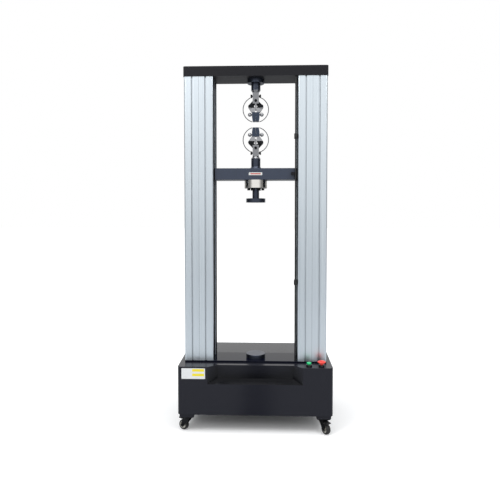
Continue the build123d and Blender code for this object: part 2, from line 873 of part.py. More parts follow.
# Arm: a link from the pivot to the shoulder, a round shoulder boss, a heel beside the tongue, a
# foot over the jaw and a ball knob on a short stem. The right arm's link lies in the back half
# of the fork.
link_plane = load_plane.offset(-link_gap)
with BuildPart() as upper_right_arm:
    with BuildSketch(link_plane):
        with Locations((0, upper_tip + pivot_up)):
            Circle(eye_radius)
        with Locations((shoulder_out, upper_tip + shoulder_up)):
            Circle(shoulder_radius)
        make_hull()
        with Locations((0, upper_tip + pivot_up)):
            Circle(pivot_radius + running_gap, mode=Mode.SUBTRACT)
    extrude(amount=-link_thickness)
    with BuildSketch(load_plane):
        with Locations((shoulder_out, upper_tip + shoulder_up)):
            Circle(shoulder_radius)
        foot_width = arm_foot_half_width - arm_inner
        with Locations(
            (arm_inner + foot_width / 2, upper_tip + jaw_height + arm_foot_height / 2)
        ):
            Rectangle(foot_width, arm_foot_height)
        with Locations((arm_heel_out, upper_tip + arm_heel_up)):
            Circle(arm_heel_radius)
        make_hull()
    extrude(amount=arm_depth / 2, both=True)
    with BuildSketch(load_plane):
        with Locations((shoulder_out, upper_tip + shoulder_up)):
            Circle(shoulder_radius)
    extrude(amount=shoulder_depth / 2, both=True)
    with BuildSketch(Plane.YZ.offset(jaw_half_width)):
        with Locations((load_y, upper_tip + knob_up)):
            Circle(knob_stem_radius)
    extrude(amount=knob_stem_length)
    knob_x = jaw_half_width + knob_stem_length + knob_radius - knob_seat
    with Locations((knob_x, load_y, upper_tip + knob_up)):
        Sphere(knob_radius)
save(upper_right_arm.part, "upper_right_arm")

# Jaw: a hard block with a tapered outer side and a serrated clamping face
with BuildPart() as upper_right_jaw:
    with BuildSketch(load_plane):
        with BuildLine():
            Polyline(
                (jaw_parting, upper_tip),
                (jaw_tip_half_width, upper_tip),
                (jaw_half_width, upper_tip + jaw_taper),
                (jaw_half_width, upper_tip + jaw_height),
                (jaw_parting, upper_tip + jaw_height),
                close=True,
            )
        make_face()
    extrude(amount=jaw_depth / 2, both=True)
    tooth_row = upper_tip + jaw_tooth_pitch * (jaw_tooth_count + 1) / 2
    with BuildSketch(load_plane):
        with Locations((jaw_parting, tooth_row)):
            with GridLocations(0, jaw_tooth_pitch, 1, jaw_tooth_count):
                Polygon(
                    (0, jaw_tooth_pitch / 2),
                    (0, -jaw_tooth_pitch / 2),
                    (jaw_tooth_depth, 0),
                    align=None,
                )
    extrude(amount=jaw_depth / 2, both=True, mode=Mode.SUBTRACT)
save(upper_right_jaw.part, "upper_right_jaw")

# The left arm is the right one turned half round the load line
for piece, label in ((upper_right_arm, "upper_left_arm"), (upper_right_jaw, "upper_left_jaw")):
    with BuildPart(mode=Mode.PRIVATE) as facing:
        mirror(piece.part, about=Plane.YZ)
    with BuildPart() as turned:
        mirror(facing.part, about=load_plane)
    save(turned.part, label)
    with BuildPart() as lowered:
        mirror(turned.part, about=mirror_plane)
    save(lowered.part, label.replace("upper", "lower"))

# The lower grip is the upper one mirrored between the jaw tips
for piece, label in (
    (upper_grip_body, "lower_grip_body"),
    (upper_grip_pins, "lower_grip_pins"),
    (upper_grip_springs, "lower_grip_springs"),
    (upper_right_arm, "lower_right_arm"),
    (upper_right_jaw, "lower_right_jaw"),
):
    with BuildPart() as lowered:
        mirror(piece.part, about=mirror_plane)
    save(lowered.part, label)

# Limit rod beside the right column, its collars, and the crosshead's finger that meets them
limit_rod_x = column_inner - limit_rod_inset
limit_rod_y = load_y - crosshead_depth / 2 - limit_rod_forward
with BuildPart() as limit_rod:
    with BuildSketch(Plane.XY.offset(table_top)):
        with Locations((limit_rod_x, limit_rod_y)):
            Circle(limit_rod_radius)
    extrude(amount=column_height)
save(limit_rod.part, "limit_rod")

collar_x = column_inner - collar_face_gap - collar_width / 2
for name, level in (
    ("upper", crosshead_top + upper_collar_rise),
    ("lower", table_top + lower_collar_rise),
):
    with BuildPart() as limit_collar:
        with BuildSketch(Plane.XY.offset(level - collar_height / 2)):
            with Locations((collar_x, limit_rod_y)):
                RectangleRounded(collar_width, collar_depth, beam_edge)
            with Locations((limit_rod_x, limit_rod_y)):
                Circle(limit_rod_radius + running_gap, mode=Mode.SUBTRACT)
        extrude(amount=collar_height)
        with BuildSketch(Plane.XZ.offset(-limit_rod_y + collar_depth / 2)):
            with Locations((collar_x, level)):
                Circle(collar_screw_radius)
        extrude(amount=collar_screw_length)
    save(limit_collar.part, f"{name}_limit_collar")

finger_back = load_y - crosshead_depth / 2
finger_front = limit_rod_y - limit_rod_radius
with BuildPart() as limit_finger:
    with BuildSketch(Plane.XY.offset(crosshead_middle - finger_height / 2)):
        with Locations((beam_half - finger_length / 2, (finger_back + finger_front) / 2)):
            Rectangle(finger_length, finger_back - finger_front)
        with Locations((limit_rod_x, (limit_rod_y + finger_front) / 2)):
            Rectangle(
                2 * (limit_rod_radius + limit_rod_gap), limit_rod_radius, mode=Mode.SUBTRACT
            )
        with Locations((limit_rod_x, limit_rod_y)):
            Circle(limit_rod_radius + limit_rod_gap, mode=Mode.SUBTRACT)
    extrude(amount=finger_height)
save(limit_finger.part, "limit_finger")

# Button bezels: a collar on the ledge, a barrel through it and a nut below
start_x = button_x - button_spacing / 2
stop_x = button_x + button_spacing / 2
with BuildPart() as button_bezels:
    for bottom, height, radius in (
        (base_top - bezel_barrel_depth, bezel_barrel_depth, bezel_barrel_radius),
        (base_top, bezel_height, bezel_radius),
        (base_top - cover_sheet - bezel_nut_height, bezel_nut_height, bezel_nut_radius),
    ):
        with BuildSketch(Plane.XY.offset(bottom)):
            with Locations((button_x, button_y)):
                with GridLocations(button_spacing, 0, 2, 1):
                    Circle(radius)
                    Circle(button_stem_radius + running_gap, mode=Mode.SUBTRACT)
        extrude(amount=height)
save(button_bezels.part, "button_bezels")

# Start button: a flat-topped cap on a stem
bezel_top = base_top + bezel_height
start_floor = bezel_top + start_travel + button_gap
with BuildPart() as start_button:
    with BuildSketch(Plane.XY.offset(bezel_top - button_stem_depth)):
        with Locations((start_x, button_y)):
            Circle(button_stem_radius)
    extrude(amount=start_floor + start_cap_height - bezel_top + button_stem_depth)
    with BuildSketch(Plane.XY.offset(start_floor)):
        with Locations((start_x, button_y)):
            Circle(start_cap_radius)
    extrude(amount=start_cap_height)
    chamfer(start_button.faces().sort_by(Axis.Z)[-1].edges(), length=beam_edge)
save(start_button.part, "start_button")

# Emergency stop: a mushroom head that flares out from its neck
stop_floor = bezel_top + stop_travel + button_gap
stop_top = stop_floor + stop_neck_height + stop_head_height
dome_rise = stop_head_height - stop_rim
dome_radius = (stop_head_radius**2 + dome_rise**2) / (2 * dome_rise)
dome_angle = math.asin(stop_head_radius / dome_radius)
with BuildPart() as stop_button:
    with BuildSketch(Plane.XZ.offset(-button_y)):
        with BuildLine():
            outline = Polyline(
                (stop_x, bezel_top - button_stem_depth),
                (stop_x + button_stem_radius, bezel_top - button_stem_depth),
                (stop_x + button_stem_radius, stop_floor),
                (stop_x + stop_neck_radius, stop_floor),
                (stop_x + stop_neck_radius, stop_floor + stop_neck_height - stop_rim),
                (stop_x + stop_head_radius, stop_floor + stop_neck_height),
                (stop_x + stop_head_radius, stop_floor + stop_neck_height + stop_rim),
            )
            ThreePointArc(
                outline @ 1,
                (
                    stop_x + dome_radius * math.sin(dome_angle / 2),
                    stop_top - dome_radius * (1 - math.cos(dome_angle / 2)),
                ),
                (stop_x, stop_top),
            )
            Line((stop_x, stop_top), (stop_x, bezel_top - button_stem_depth))
        make_face()
    revolve(axis=Axis((stop_x, button_y, 0), (0, 0, 1)))
save(stop_button.part, "stop_button")

# Casters. Each swivels about its own upright axis and trails in the direction given here.
caster_places = {
    "front_left": (-caster_x, -caster_y, 150.0),
    "front_right": (caster_x, -caster_y, -60.0),
    "rear_left": (-caster_x, caster_y, 120.0),
    "rear_right": (caster_x, caster_y, -30.0),
}
race_bottom = caster_height - caster_plate_sheet - race_height
fork_top = race_bottom - race_gap
fork_crown = fork_top - fork_top_height
cheek_inner = wheel_width / 2 + fork_gap
cheek_outer = cheek_inner + fork_sheet

# Caster plates, with a bearing race, a kingpin and four bolt heads each
with BuildPart() as caster_plates:
    with BuildSketch(Plane.XY.offset(caster_height - caster_plate_sheet)):
        with GridLocations(2 * caster_x, 2 * caster_y, 2, 2):
            RectangleRounded(caster_plate_size, caster_plate_size, race_height)
    extrude(amount=caster_plate_sheet)
    with BuildSketch(Plane.XY.offset(race_bottom)):
        with GridLocations(2 * caster_x, 2 * caster_y, 2, 2):
            Circle(race_radius)
    extrude(amount=race_height)
    with BuildSketch(Plane.XY.offset(fork_crown)):
        with GridLocations(2 * caster_x, 2 * caster_y, 2, 2):
            Circle(kingpin_radius)
    extrude(amount=race_bottom - fork_crown)
    with BuildSketch(Plane.XY.offset(caster_height - caster_plate_sheet)):
        with GridLocations(2 * caster_x, 2 * caster_y, 2, 2):
            with GridLocations(caster_bolt_spacing, caster_bolt_spacing, 2, 2):
                RegularPolygon(caster_bolt_radius, 6)
    extrude(amount=-caster_bolt_height)
save(caster_plates.part, "caster_plates")

for name, (place_x, place_y, heading) in caster_places.items():
    forward = Vector(1, 0, 0).rotate(Axis.Z, heading)
    side_plane = Plane(
        origin=(place_x, place_y, 0), x_dir=forward, z_dir=forward.cross(Vector(0, 0, 1))
    )
    ground = Plane(origin=(place_x, place_y, 0), x_dir=forward, z_dir=(0, 0, 1))

    # Fork: a crown under the race, two cheeks and the axle
    with BuildPart() as caster_fork:
        with BuildSketch(ground.offset(fork_crown)):
            Circle(race_radius - race_height)
            Circle(kingpin_radius + running_gap, mode=Mode.SUBTRACT)
        extrude(amount=fork_top_height)
        with BuildSketch(ground.offset(fork_crown)):
            Rectangle(fork_width, 2 * cheek_outer)
            Circle(kingpin_radius + running_gap, mode=Mode.SUBTRACT)
        extrude(amount=fork_web_height)
        with BuildSketch(side_plane.offset(cheek_inner)):
            with Locations((caster_trail, wheel_radius)):
                Circle(fork_eye)
            with Locations((0, fork_crown + fork_web_height / 2)):
                Rectangle(fork_width, fork_web_height)
            make_hull()
            if name.startswith("front"):
                with Locations((pedal_pivot_x, pedal_pivot_z)):
                    Circle(pedal_pivot_radius + running_gap, mode=Mode.SUBTRACT)
        extrude(amount=fork_sheet)
        mirror(about=side_plane)
        with BuildSketch(side_plane):
            with Locations((caster_trail, wheel_radius)):
                Circle(axle_radius)
        extrude(amount=cheek_outer, both=True)
        for side in sides:
            with BuildSketch(side_plane.offset(side * cheek_outer)):
                with Locations((caster_trail, wheel_radius)):
                    RegularPolygon(axle_head_radius, 6)
            extrude(amount=side * axle_head_height)
    save(caster_fork.part, f"{name}_caster_fork")

    # Wheel: a crowned tread round a stepped hub
    with BuildPart() as caster_wheel:
        with BuildSketch(side_plane.offset(-wheel_width / 2)):
            with Locations((caster_trail, wheel_radius)):
                Circle(wheel_radius)
                Circle(axle_radius + running_gap, mode=Mode.SUBTRACT)
        extrude(amount=wheel_width)
        tread_rims = caster_wheel.edges().filter_by(
            lambda edge: edge.geom_type == GeomType.CIRCLE and edge.radius > wheel_hub_radius
        )
        fillet(tread_rims, radius=wheel_crown)
        for side in sides:
            with BuildSketch(side_plane.offset(side * wheel_width / 2)):
                with Locations((caster_trail, wheel_radius)):
                    Circle(wheel_hub_radius)
                    Circle(wheel_boss_radius, mode=Mode.SUBTRACT)
            extrude(amount=-side * wheel_hub_step, mode=Mode.SUBTRACT)
    save(caster_wheel.part, f"{name}_caster_wheel")

    # Brake pedal on the front casters: a hub between the cheeks, on a pin through both, and a
    # tread over the wheel
    if name.startswith("front"):
        pedal_half = cheek_inner - pedal_gap
        with BuildPart() as brake_pedal:
            with BuildSketch(side_plane):
                with Locations((pedal_pivot_x, pedal_pivot_z)):
                    Circle(pedal_hub)
                pedal_end = pedal_pivot_x + pedal_length - pedal_thickness
                with Locations((pedal_end, pedal_pivot_z + pedal_thickness / 4)):
                    Rectangle(pedal_toe, pedal_thickness)
                make_hull()
            extrude(amount=pedal_half, both=True)
            with BuildSketch(side_plane):
                with Locations((pedal_pivot_x, pedal_pivot_z)):
                    Circle(pedal_pivot_radius)
            extrude(amount=cheek_outer, both=True)
        save(brake_pedal.part, f"{name}_brake_pedal")
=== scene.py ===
import json
import math

import bmesh
import bpy
from mathutils import Euler, Matrix, Vector


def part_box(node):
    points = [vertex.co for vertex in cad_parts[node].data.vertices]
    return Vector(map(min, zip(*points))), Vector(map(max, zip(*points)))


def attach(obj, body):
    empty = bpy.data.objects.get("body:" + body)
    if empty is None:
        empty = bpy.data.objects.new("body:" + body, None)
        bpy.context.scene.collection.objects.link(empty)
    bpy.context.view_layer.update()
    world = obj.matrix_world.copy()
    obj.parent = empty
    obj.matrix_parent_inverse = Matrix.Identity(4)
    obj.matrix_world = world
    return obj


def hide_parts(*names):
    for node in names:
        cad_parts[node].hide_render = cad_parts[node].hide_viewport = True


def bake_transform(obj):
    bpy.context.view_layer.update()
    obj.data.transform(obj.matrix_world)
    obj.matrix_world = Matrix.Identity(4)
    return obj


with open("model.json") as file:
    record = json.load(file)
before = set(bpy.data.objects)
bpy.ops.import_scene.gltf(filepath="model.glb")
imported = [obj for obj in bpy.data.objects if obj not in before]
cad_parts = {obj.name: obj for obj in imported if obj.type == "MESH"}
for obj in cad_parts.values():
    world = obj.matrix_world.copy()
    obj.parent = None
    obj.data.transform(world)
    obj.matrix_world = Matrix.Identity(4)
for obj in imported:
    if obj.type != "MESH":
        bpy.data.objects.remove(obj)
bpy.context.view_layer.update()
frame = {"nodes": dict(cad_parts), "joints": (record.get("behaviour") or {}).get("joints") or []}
nodes = frame["nodes"]

# Studio camera: it stands under three metres in front of the machine, at the height of a
# person's chest, and looks slightly down. Its lens is shifted a little to fit the whole machine.
camera_place = Vector((0.0614, -2.6142, 1.0992))
camera_pitch = 2.09
camera_turn = 2.06
camera_lens = 35.21
camera_shift = -0.040
film_width = 36.0

camera_data = bpy.data.cameras.new("camera")
camera_data.lens = camera_lens
camera_data.sensor_width = film_width
camera_data.shift_y = camera_shift
camera = bpy.data.objects.new("camera", camera_data)
camera.location = camera_place
camera.rotation_euler = Euler(
    (math.radians(90 - camera_pitch), 0, math.radians(camera_turn))
)
bpy.context.collection.objects.link(camera)
bpy.context.scene.camera = camera
bpy.context.scene.view_settings.view_transform = "Standard"


# Lamps and room: a broad soft lamp on each side and one overhead, in an even white room. Black
# cards far out at both sides show only in reflections and give bright metal an edge.
def srgb(code):
    """Turns an sRGB hex colour into the linear values that a socket takes."""
    channels = [int(code[i : i + 2], 16) / 255 for i in (1, 3, 5)]
    linear = [c / 12.92 if c <= 0.04045 else ((c + 0.055) / 1.055) ** 2.4 for c in channels]
    return (*linear, 1.0)


def add(tree, kind, inputs=None, **settings):
    """Adds a shader node, with its settings, and sets or links its inputs."""
    made = tree.nodes.new("ShaderNode" + kind)
    for name, value in settings.items():
        setattr(made, name, value)
    for socket, value in (inputs or {}).items():
        if isinstance(value, bpy.types.NodeSocket):
            tree.links.new(value, made.inputs[socket])
        else:
            made.inputs[socket].default_value = value
    return made


def lamp(name, place, target, width, height, power):
    """A soft rectangular lamp that points at the target."""
    light = bpy.data.lights.new(name, "AREA")
    light.shape = "RECTANGLE"
    light.size = width
    light.size_y = height
    light.energy = power
    made = bpy.data.objects.new(name, light)
    made.location = place
    made.rotation_euler = (Vector(target) - Vector(place)).to_track_quat("-Z", "Y").to_euler()
    bpy.context.collection.objects.link(made)


lamp("left_softbox", (-2.1, -2.3, 3.8), (0, 0, 1.3), width=1.6, height=2.0, power=74)
lamp("right_softbox", (2.3, -2.0, 3.7), (0, 0, 1.3), width=1.4, height=1.8, power=52)
lamp("top_softbox", (0.0, -0.6, 3.6), (0, -0.1, 0.3), width=2.2, height=1.4, power=30)

room_light = 0.72
room_seen = 1.0
room_mirrored = 1.12
card_mirrored = 0.25
card_starts = 0.5
card_full = 0.92
world = bpy.data.worlds.new("white_room")
world.use_nodes = True
bpy.context.scene.world = world
room = world.node_tree
room.nodes.clear()
ray = add(room, "LightPath")
seen = add(
    room, "Math",
    {0: ray.outputs["Is Camera Ray"], 1: ray.outputs["Is Transmission Ray"]},
    operation="MAXIMUM",
)
strength = add(
    room, "MapRange", {"Value": seen.outputs[0], "To Min": room_light, "To Max": room_seen}
)
where = add(room, "TexCoord")
toward = add(room, "VectorMath", {0: where.outputs["Generated"]}, operation="ABSOLUTE")
sides = add(room, "SeparateXYZ", {"Vector": toward.outputs[0]})
black_cards = add(
    room, "MapRange",
    {"Value": sides.outputs["X"], "From Min": card_starts, "From Max": card_full,
     "To Min": room_mirrored, "To Max": card_mirrored},
    interpolation_type="SMOOTHSTEP",
)
mirrored = add(
    room, "Mix",
    {"Factor": ray.outputs["Is Glossy Ray"], "A": strength.outputs["Result"],
     "B": black_cards.outputs["Result"]},
    data_type="FLOAT",
)
sky = add(room, "Background", {"Color": srgb("#ffffff"), "Strength": mirrored.outputs["Result"]})
add(room, "OutputWorld", {"Surface": sky.outputs["Background"]})


# Floor: pale seamless paper that melts into the white room. Its glow grows with distance and is
# left out under the base, a painted shadow over the machine's own. Reflections see the paper
# darker, with a painted dark band in its middle that gives the base's front its deep band.
floor_half = 30.0
glow_starts = 0.5
glow_full = 1.9
glow_near = 0.24
glow_far = 0.6
shadow_in_x = 0.3
shadow_out_x = 0.41
shadow_in_y = 0.04
shadow_out_y = 0.25
painted_band_in = 0.02
painted_band_out = 0.14
floor_mesh = bmesh.new()
bmesh.ops.create_grid(floor_mesh, x_segments=1, y_segments=1, size=floor_half)
floor_data = bpy.data.meshes.new("floor")
floor_mesh.to_mesh(floor_data)
floor_mesh.free()
floor = bpy.data.objects.new("floor", floor_data)
bpy.context.collection.objects.link(floor)
paper = bpy.data.materials.new("pale_studio_paper")
paper.use_nodes = True
tree = paper.node_tree
tree.nodes.clear()
ray = add(tree, "LightPath")
where = add(tree, "TexCoord")
away = add(tree, "VectorMath", {0: where.outputs["Object"]}, operation="LENGTH")
far = add(
    tree, "MapRange",
    {"Value": away.outputs["Value"], "From Min": glow_starts, "From Max": glow_full,
     "To Min": glow_near, "To Max": glow_far},
    interpolation_type="SMOOTHSTEP",
)
both_sides = add(tree, "VectorMath", {0: where.outputs["Object"]}, operation="ABSOLUTE")
under = add(tree, "SeparateXYZ", {"Vector": both_sides.outputs[0]})
# Painted shadow: the glow fades out over the base's footprint and near the machine, so the floor
# there shows darker.
past_end = add(
    tree, "MapRange",
    {"Value": under.outputs["X"], "From Min": shadow_in_x, "From Max": shadow_out_x},
    interpolation_type="SMOOTHSTEP",
)
past_front = add(
    tree, "MapRange",
    {"Value": under.outputs["Y"], "From Min": shadow_in_y, "From Max": shadow_out_y},
    interpolation_type="SMOOTHSTEP",
)
outside_painted_shadow = add(
    tree, "Math", {0: past_end.outputs["Result"], 1: past_front.outputs["Result"]},
    operation="MAXIMUM",
)
bare = add(
    tree, "Math", {0: outside_painted_shadow.outputs[0], 1: far.outputs["Result"]}, operation="MULTIPLY"
)
lift = add(
    tree, "Math", {0: ray.outputs["Is Camera Ray"], 1: bare.outputs[0]}, operation="MULTIPLY"
)
# Painted reflection: reflection rays see a darker paper, with a dark band down its middle.
beside_painted_band = add(
    tree, "MapRange",
    {"Value": under.outputs["X"], "From Min": painted_band_in, "From Max": painted_band_out},
    interpolation_type="SMOOTHSTEP",
)
mirrored_paper = add(
    tree, "Mix",
    {"Factor": beside_painted_band.outputs["Result"], "A": srgb("#101114"), "B": srgb("#d6d8db")},
    data_type="RGBA",
)
paper_shade = add(
    tree, "Mix",
    {"Factor": ray.outputs["Is Glossy Ray"], "A": srgb("#ecedee"),
     "B": mirrored_paper.outputs["Result"]},
    data_type="RGBA",
)
matt = add(tree, "BsdfDiffuse", {"Color": paper_shade.outputs["Result"]})
glow = add(tree, "Emission", {"Color": srgb("#ffffff"), "Strength": lift.outputs[0]})
both = add(tree, "AddShader", {0: matt.outputs[0], 1: glow.outputs[0]})
add(tree, "OutputMaterial", {"Surface": both.outputs[0]})
floor_data.materials.append(paper)


# Base cover, rear panel and chassis: folded sheet steel under a semi-gloss black powder coat,
# stoved on. The coat has a faint orange-peel skin and soft folds. Painted shade makes its colour
# deeper black in the recess.
def material(name, colour, roughness, metallic=0.0, **sockets):
    """A named material with one Principled surface. Gives the material, its tree and shader."""
    made = bpy.data.materials.new(name)
    made.use_nodes = True
    made.diffuse_color = srgb(colour)
    shader = made.node_tree.nodes["Principled BSDF"]
    shader.inputs["Base Color"].default_value = srgb(colour)
    shader.inputs["Roughness"].default_value = roughness
    shader.inputs["Metallic"].default_value = metallic
    for socket, value in sockets.items():
        shader.inputs[socket.replace("_", " ").title().replace("Ior", "IOR")].default_value = value
    return made, made.node_tree, shader


def finish(made, *names):
    """Gives CAD nodes this material in place of their own."""
    for name in names:
        slots = nodes[name].data.materials
        slots.clear()
        slots.append(made)


peel_size = 0.0024
cloud_width = 0.45
fold_radius = 0.0018
recess_reach = 0.12
open_coat_black = "#1f2027"
recess_shade_black = "#0a0b0f"
powder_coat, tree, shader = material("black_powder_coat", open_coat_black, 0.2, specular_ior_level=0.16)
where = add(tree, "TexCoord")
cloud = add(
    tree, "TexNoise",
    {"Vector": where.outputs["Object"], "Scale": 1 / cloud_width, "Detail": 3.0},
)
tone = add(
    tree, "MapRange",
    {"Value": cloud.outputs["Fac"], "From Min": 0.35, "From Max": 0.65,
     "To Min": 0.17, "To Max": 0.24},
)
tree.links.new(tone.outputs["Result"], shader.inputs["Roughness"])
peel = add(
    tree, "TexNoise",
    {"Vector": where.outputs["Object"], "Scale": 1 / peel_size, "Detail": 2.0},
)
skin = add(
    tree, "Bump", {"Height": peel.outputs["Fac"], "Strength": 0.12, "Distance": 0.0002}
)
fold = add(tree, "Bevel", {"Radius": fold_radius}, samples=6)
tree.links.new(fold.outputs["Normal"], skin.inputs["Normal"])
# Painted shade: ambient occlusion mixes the coat's colour towards a darker black in the recess.
open_air = add(tree, "AmbientOcclusion", {"Distance": recess_reach}, samples=8, only_local=True)
open_share = add(
    tree, "MapRange", {"Value": open_air.outputs["AO"], "From Min": 0.93, "From Max": 0.998}
)
painted_recess_shade = add(
    tree, "Mix",
    {"Factor": open_share.outputs["Result"], "A": srgb(recess_shade_black), "B": srgb(open_coat_black)},
    data_type="RGBA",
)
tree.links.new(painted_recess_shade.outputs["Result"], shader.inputs["Base Color"])
finish(powder_coat, "base_cover", "rear_panel", "chassis_frame")


# Cover screws: small blackened button-head screws along the sides and the rear panel.
# Each is a low dome with a hexagon socket.
def solid(name, mesh, made, body):
    """Makes a piece from a bmesh, smooth up to 35 degrees, and lets it ride on a body."""
    bmesh.ops.recalc_face_normals(mesh, faces=mesh.faces)
    data = bpy.data.meshes.new(name)
    for face in mesh.faces:
        face.smooth = True
    mesh.to_mesh(data)
    mesh.free()
    data.set_sharp_from_angle(angle=math.radians(35))
    data.materials.append(made)
    piece = bpy.data.objects.new(name, data)
    bpy.context.collection.objects.link(piece)
    if body:
        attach(piece, body)
    return piece


def turned(mesh, outline, steps, place):
    """Adds a lathe-turned shape. The outline runs in (radius, height) from axis to axis, and
    place moves the shape, whose axis is Z, to where it belongs."""
    before = set(mesh.verts)
    points = [mesh.verts.new((radius, 0, height)) for radius, height in outline]
    edges = [mesh.edges.new(pair) for pair in zip(points, points[1:])]
    bmesh.ops.spin(
        mesh, geom=points + edges, cent=(0, 0, 0), axis=(0, 0, 1), dvec=(0, 0, 0),
        angle=2 * math.pi, steps=steps, use_merge=True, use_duplicate=False,
    )
    added = [v for v in mesh.verts if v not in before]
    bmesh.ops.remove_doubles(mesh, verts=added, dist=1e-6)
    bmesh.ops.transform(mesh, matrix=place, verts=[v for v in added if v.is_valid])


def facing(place, direction):
    """The matrix that puts a shape's Z axis along a direction, at a place."""
    turn = Vector(direction).to_track_quat("Z", "Y").to_matrix().to_4x4()
    return Matrix.Translation(place) @ turn


screw_head_radius = 0.0045
screw_head_height = 0.0024
screw_steps = 16
screw_grit = 0.0011  # drawn coarser than real
side_screw_inset = 0.055
side_screw_rise = 0.030
panel_screw_inset = 0.008
screw_outline = [
    (0, -0.001),
    (screw_head_radius, -0.001),
    (screw_head_radius, 0.0006),
    (screw_head_radius * 0.82, screw_head_height * 0.8),
    (screw_head_radius * 0.5, screw_head_height),
    (screw_head_radius * 0.45, screw_head_height * 0.4),
    (0, screw_head_height * 0.4),
]
black_screw, tree, shader = material("blackened_screw_steel", "#17181a", 0.38, 0.9)
where = add(tree, "TexCoord")
grain = add(tree, "TexNoise", {"Vector": where.outputs["Object"], "Scale": 1 / screw_grit})
worn = add(
    tree, "MapRange", {"Value": grain.outputs["Fac"], "To Min": 0.28, "To Max": 0.5}
)
tree.links.new(worn.outputs["Result"], shader.inputs["Roughness"])

cover_low, cover_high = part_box("base_cover")
panel_low, panel_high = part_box("rear_panel")
screws = bmesh.new()
for side in (-1, 1):
    for y in (cover_low.y + side_screw_inset, 0.0, cover_high.y - side_screw_inset):
        at = Vector((side * cover_high.x, y, cover_low.z + side_screw_rise))
        turned(screws, screw_outline, screw_steps, facing(at, (side, 0, 0)))
for x in (panel_low.x + panel_screw_inset, 0.0, panel_high.x - panel_screw_inset):
    for z in (panel_low.z + panel_screw_inset, panel_high.z - panel_screw_inset):
        at = Vector((x, panel_high.y, z))
        turned(screws, screw_outline, screw_steps, facing(at, (0, 1, 0)))
solid("cover_screws", screws, black_screw, "frame")


# Label plate on the cover's front, left of the recess: thin white polyester film, left blank,
# with two plain yellow bands where the real one has its panels.
label_left = -0.364
label_right = -0.247
label_bottom = 0.274
label_top = 0.327
label_thickness = 0.0006
label_corner = 0.003
band_left = -0.311
band_right = -0.252
bands = ((0.3105, 0.3235), (0.2880, 0.3005))
print_fleck = 0.0025  # drawn coarser than real


def plate(mesh, low, high, corner):
    """Adds a thin upright plate between two corners, its upright edges rounded."""
    made = bmesh.ops.create_cube(mesh, size=1.0)["verts"]
    size = Vector(high) - Vector(low)
    middle = (Vector(low) + Vector(high)) / 2
    bmesh.ops.scale(mesh, vec=size, verts=made)
    bmesh.ops.translate(mesh, vec=middle, verts=made)
    thin = min(range(3), key=lambda k: size[k])
    upright = {
        e for v in made for e in v.link_edges
        if abs((e.verts[0].co - e.verts[1].co)[thin]) > size[thin] * 0.9
    }
    bmesh.ops.bevel(
        mesh, geom=list(upright), offset=corner, segments=4, profile=0.5, affect="EDGES",
        material=-1,
    )


film, tree, shader = material("white_polyester_film", "#d2d5d6", 0.32)
where = add(tree, "TexCoord")
spot = add(tree, "SeparateXYZ", {"Vector": where.outputs["Object"]})
inside = add(tree, "Math", {0: spot.outputs["X"], 1: band_left}, operation="GREATER_THAN")
short = add(tree, "Math", {0: spot.outputs["X"], 1: band_right}, operation="LESS_THAN")
wide = add(tree, "Math", {0: inside.outputs[0], 1: short.outputs[0]}, operation="MULTIPLY")
tall = 0.0
for low, high in bands:
    over = add(tree, "Math", {0: spot.outputs["Z"], 1: low}, operation="GREATER_THAN")
    below = add(tree, "Math", {0: spot.outputs["Z"], 1: high}, operation="LESS_THAN")
    row = add(tree, "Math", {0: over.outputs[0], 1: below.outputs[0]}, operation="MULTIPLY")
    tall = add(tree, "Math", {0: row.outputs[0], 1: tall}, operation="MAXIMUM").outputs[0]
band = add(tree, "Math", {0: wide.outputs[0], 1: tall}, operation="MULTIPLY")
mottle = add(tree, "TexNoise", {"Vector": where.outputs["Object"], "Scale": 1 / print_fleck})
ink = add(
    tree, "Mix",
    {"Factor": mottle.outputs["Fac"], "A": srgb("#dccb1c"), "B": srgb("#e6d62e")},
    data_type="RGBA",
)
ground = add(
    tree, "Mix",
    {"Factor": mottle.outputs["Fac"], "A": srgb("#cdd0d2"), "B": srgb("#d8dadb")},
    data_type="RGBA",
)
print_colour = add(
    tree, "Mix",
    {"Factor": band.outputs[0], "A": ground.outputs["Result"], "B": ink.outputs["Result"]},
    data_type="RGBA",
)
tree.links.new(print_colour.outputs["Result"], shader.inputs["Base Color"])
label = bmesh.new()
plate(
    label,
    (label_left, cover_low.y - label_thickness, label_bottom),
    (label_right, cover_low.y + label_thickness, label_top),
    label_corner,
)
solid("blank_label_plate", label, film, "frame")


# Table plate: a ground steel plate, stove-enamelled in high-gloss black. It mirrors the
# columns and the platen, with a very slight ripple.
ripple_width = 0.055
dust_patch = 0.0167
enamel, tree, shader = material("gloss_black_enamel", "#0a0d1b", 0.07, specular_ior_level=0.07)
where = add(tree, "TexCoord")
ripple = add(
    tree, "TexNoise",
    {"Vector": where.outputs["Object"], "Scale": 1 / ripple_width, "Detail": 1.0},
)
wave = add(
    tree, "Bump", {"Height": ripple.outputs["Fac"], "Strength": 0.04, "Distance": 0.0006}
)
tree.links.new(wave.outputs["Normal"], shader.inputs["Normal"])
dust = add(
    tree, "TexNoise",
    {"Vector": where.outputs["Object"], "Scale": 1 / dust_patch, "Detail": 4.0},
)
haze = add(
    tree, "MapRange",
    {"Value": dust.outputs["Fac"], "From Min": 0.4, "From Max": 0.8,
     "To Min": 0.05, "To Max": 0.13},
)
tree.links.new(haze.outputs["Result"], shader.inputs["Roughness"])
finish(enamel, "table_plate")
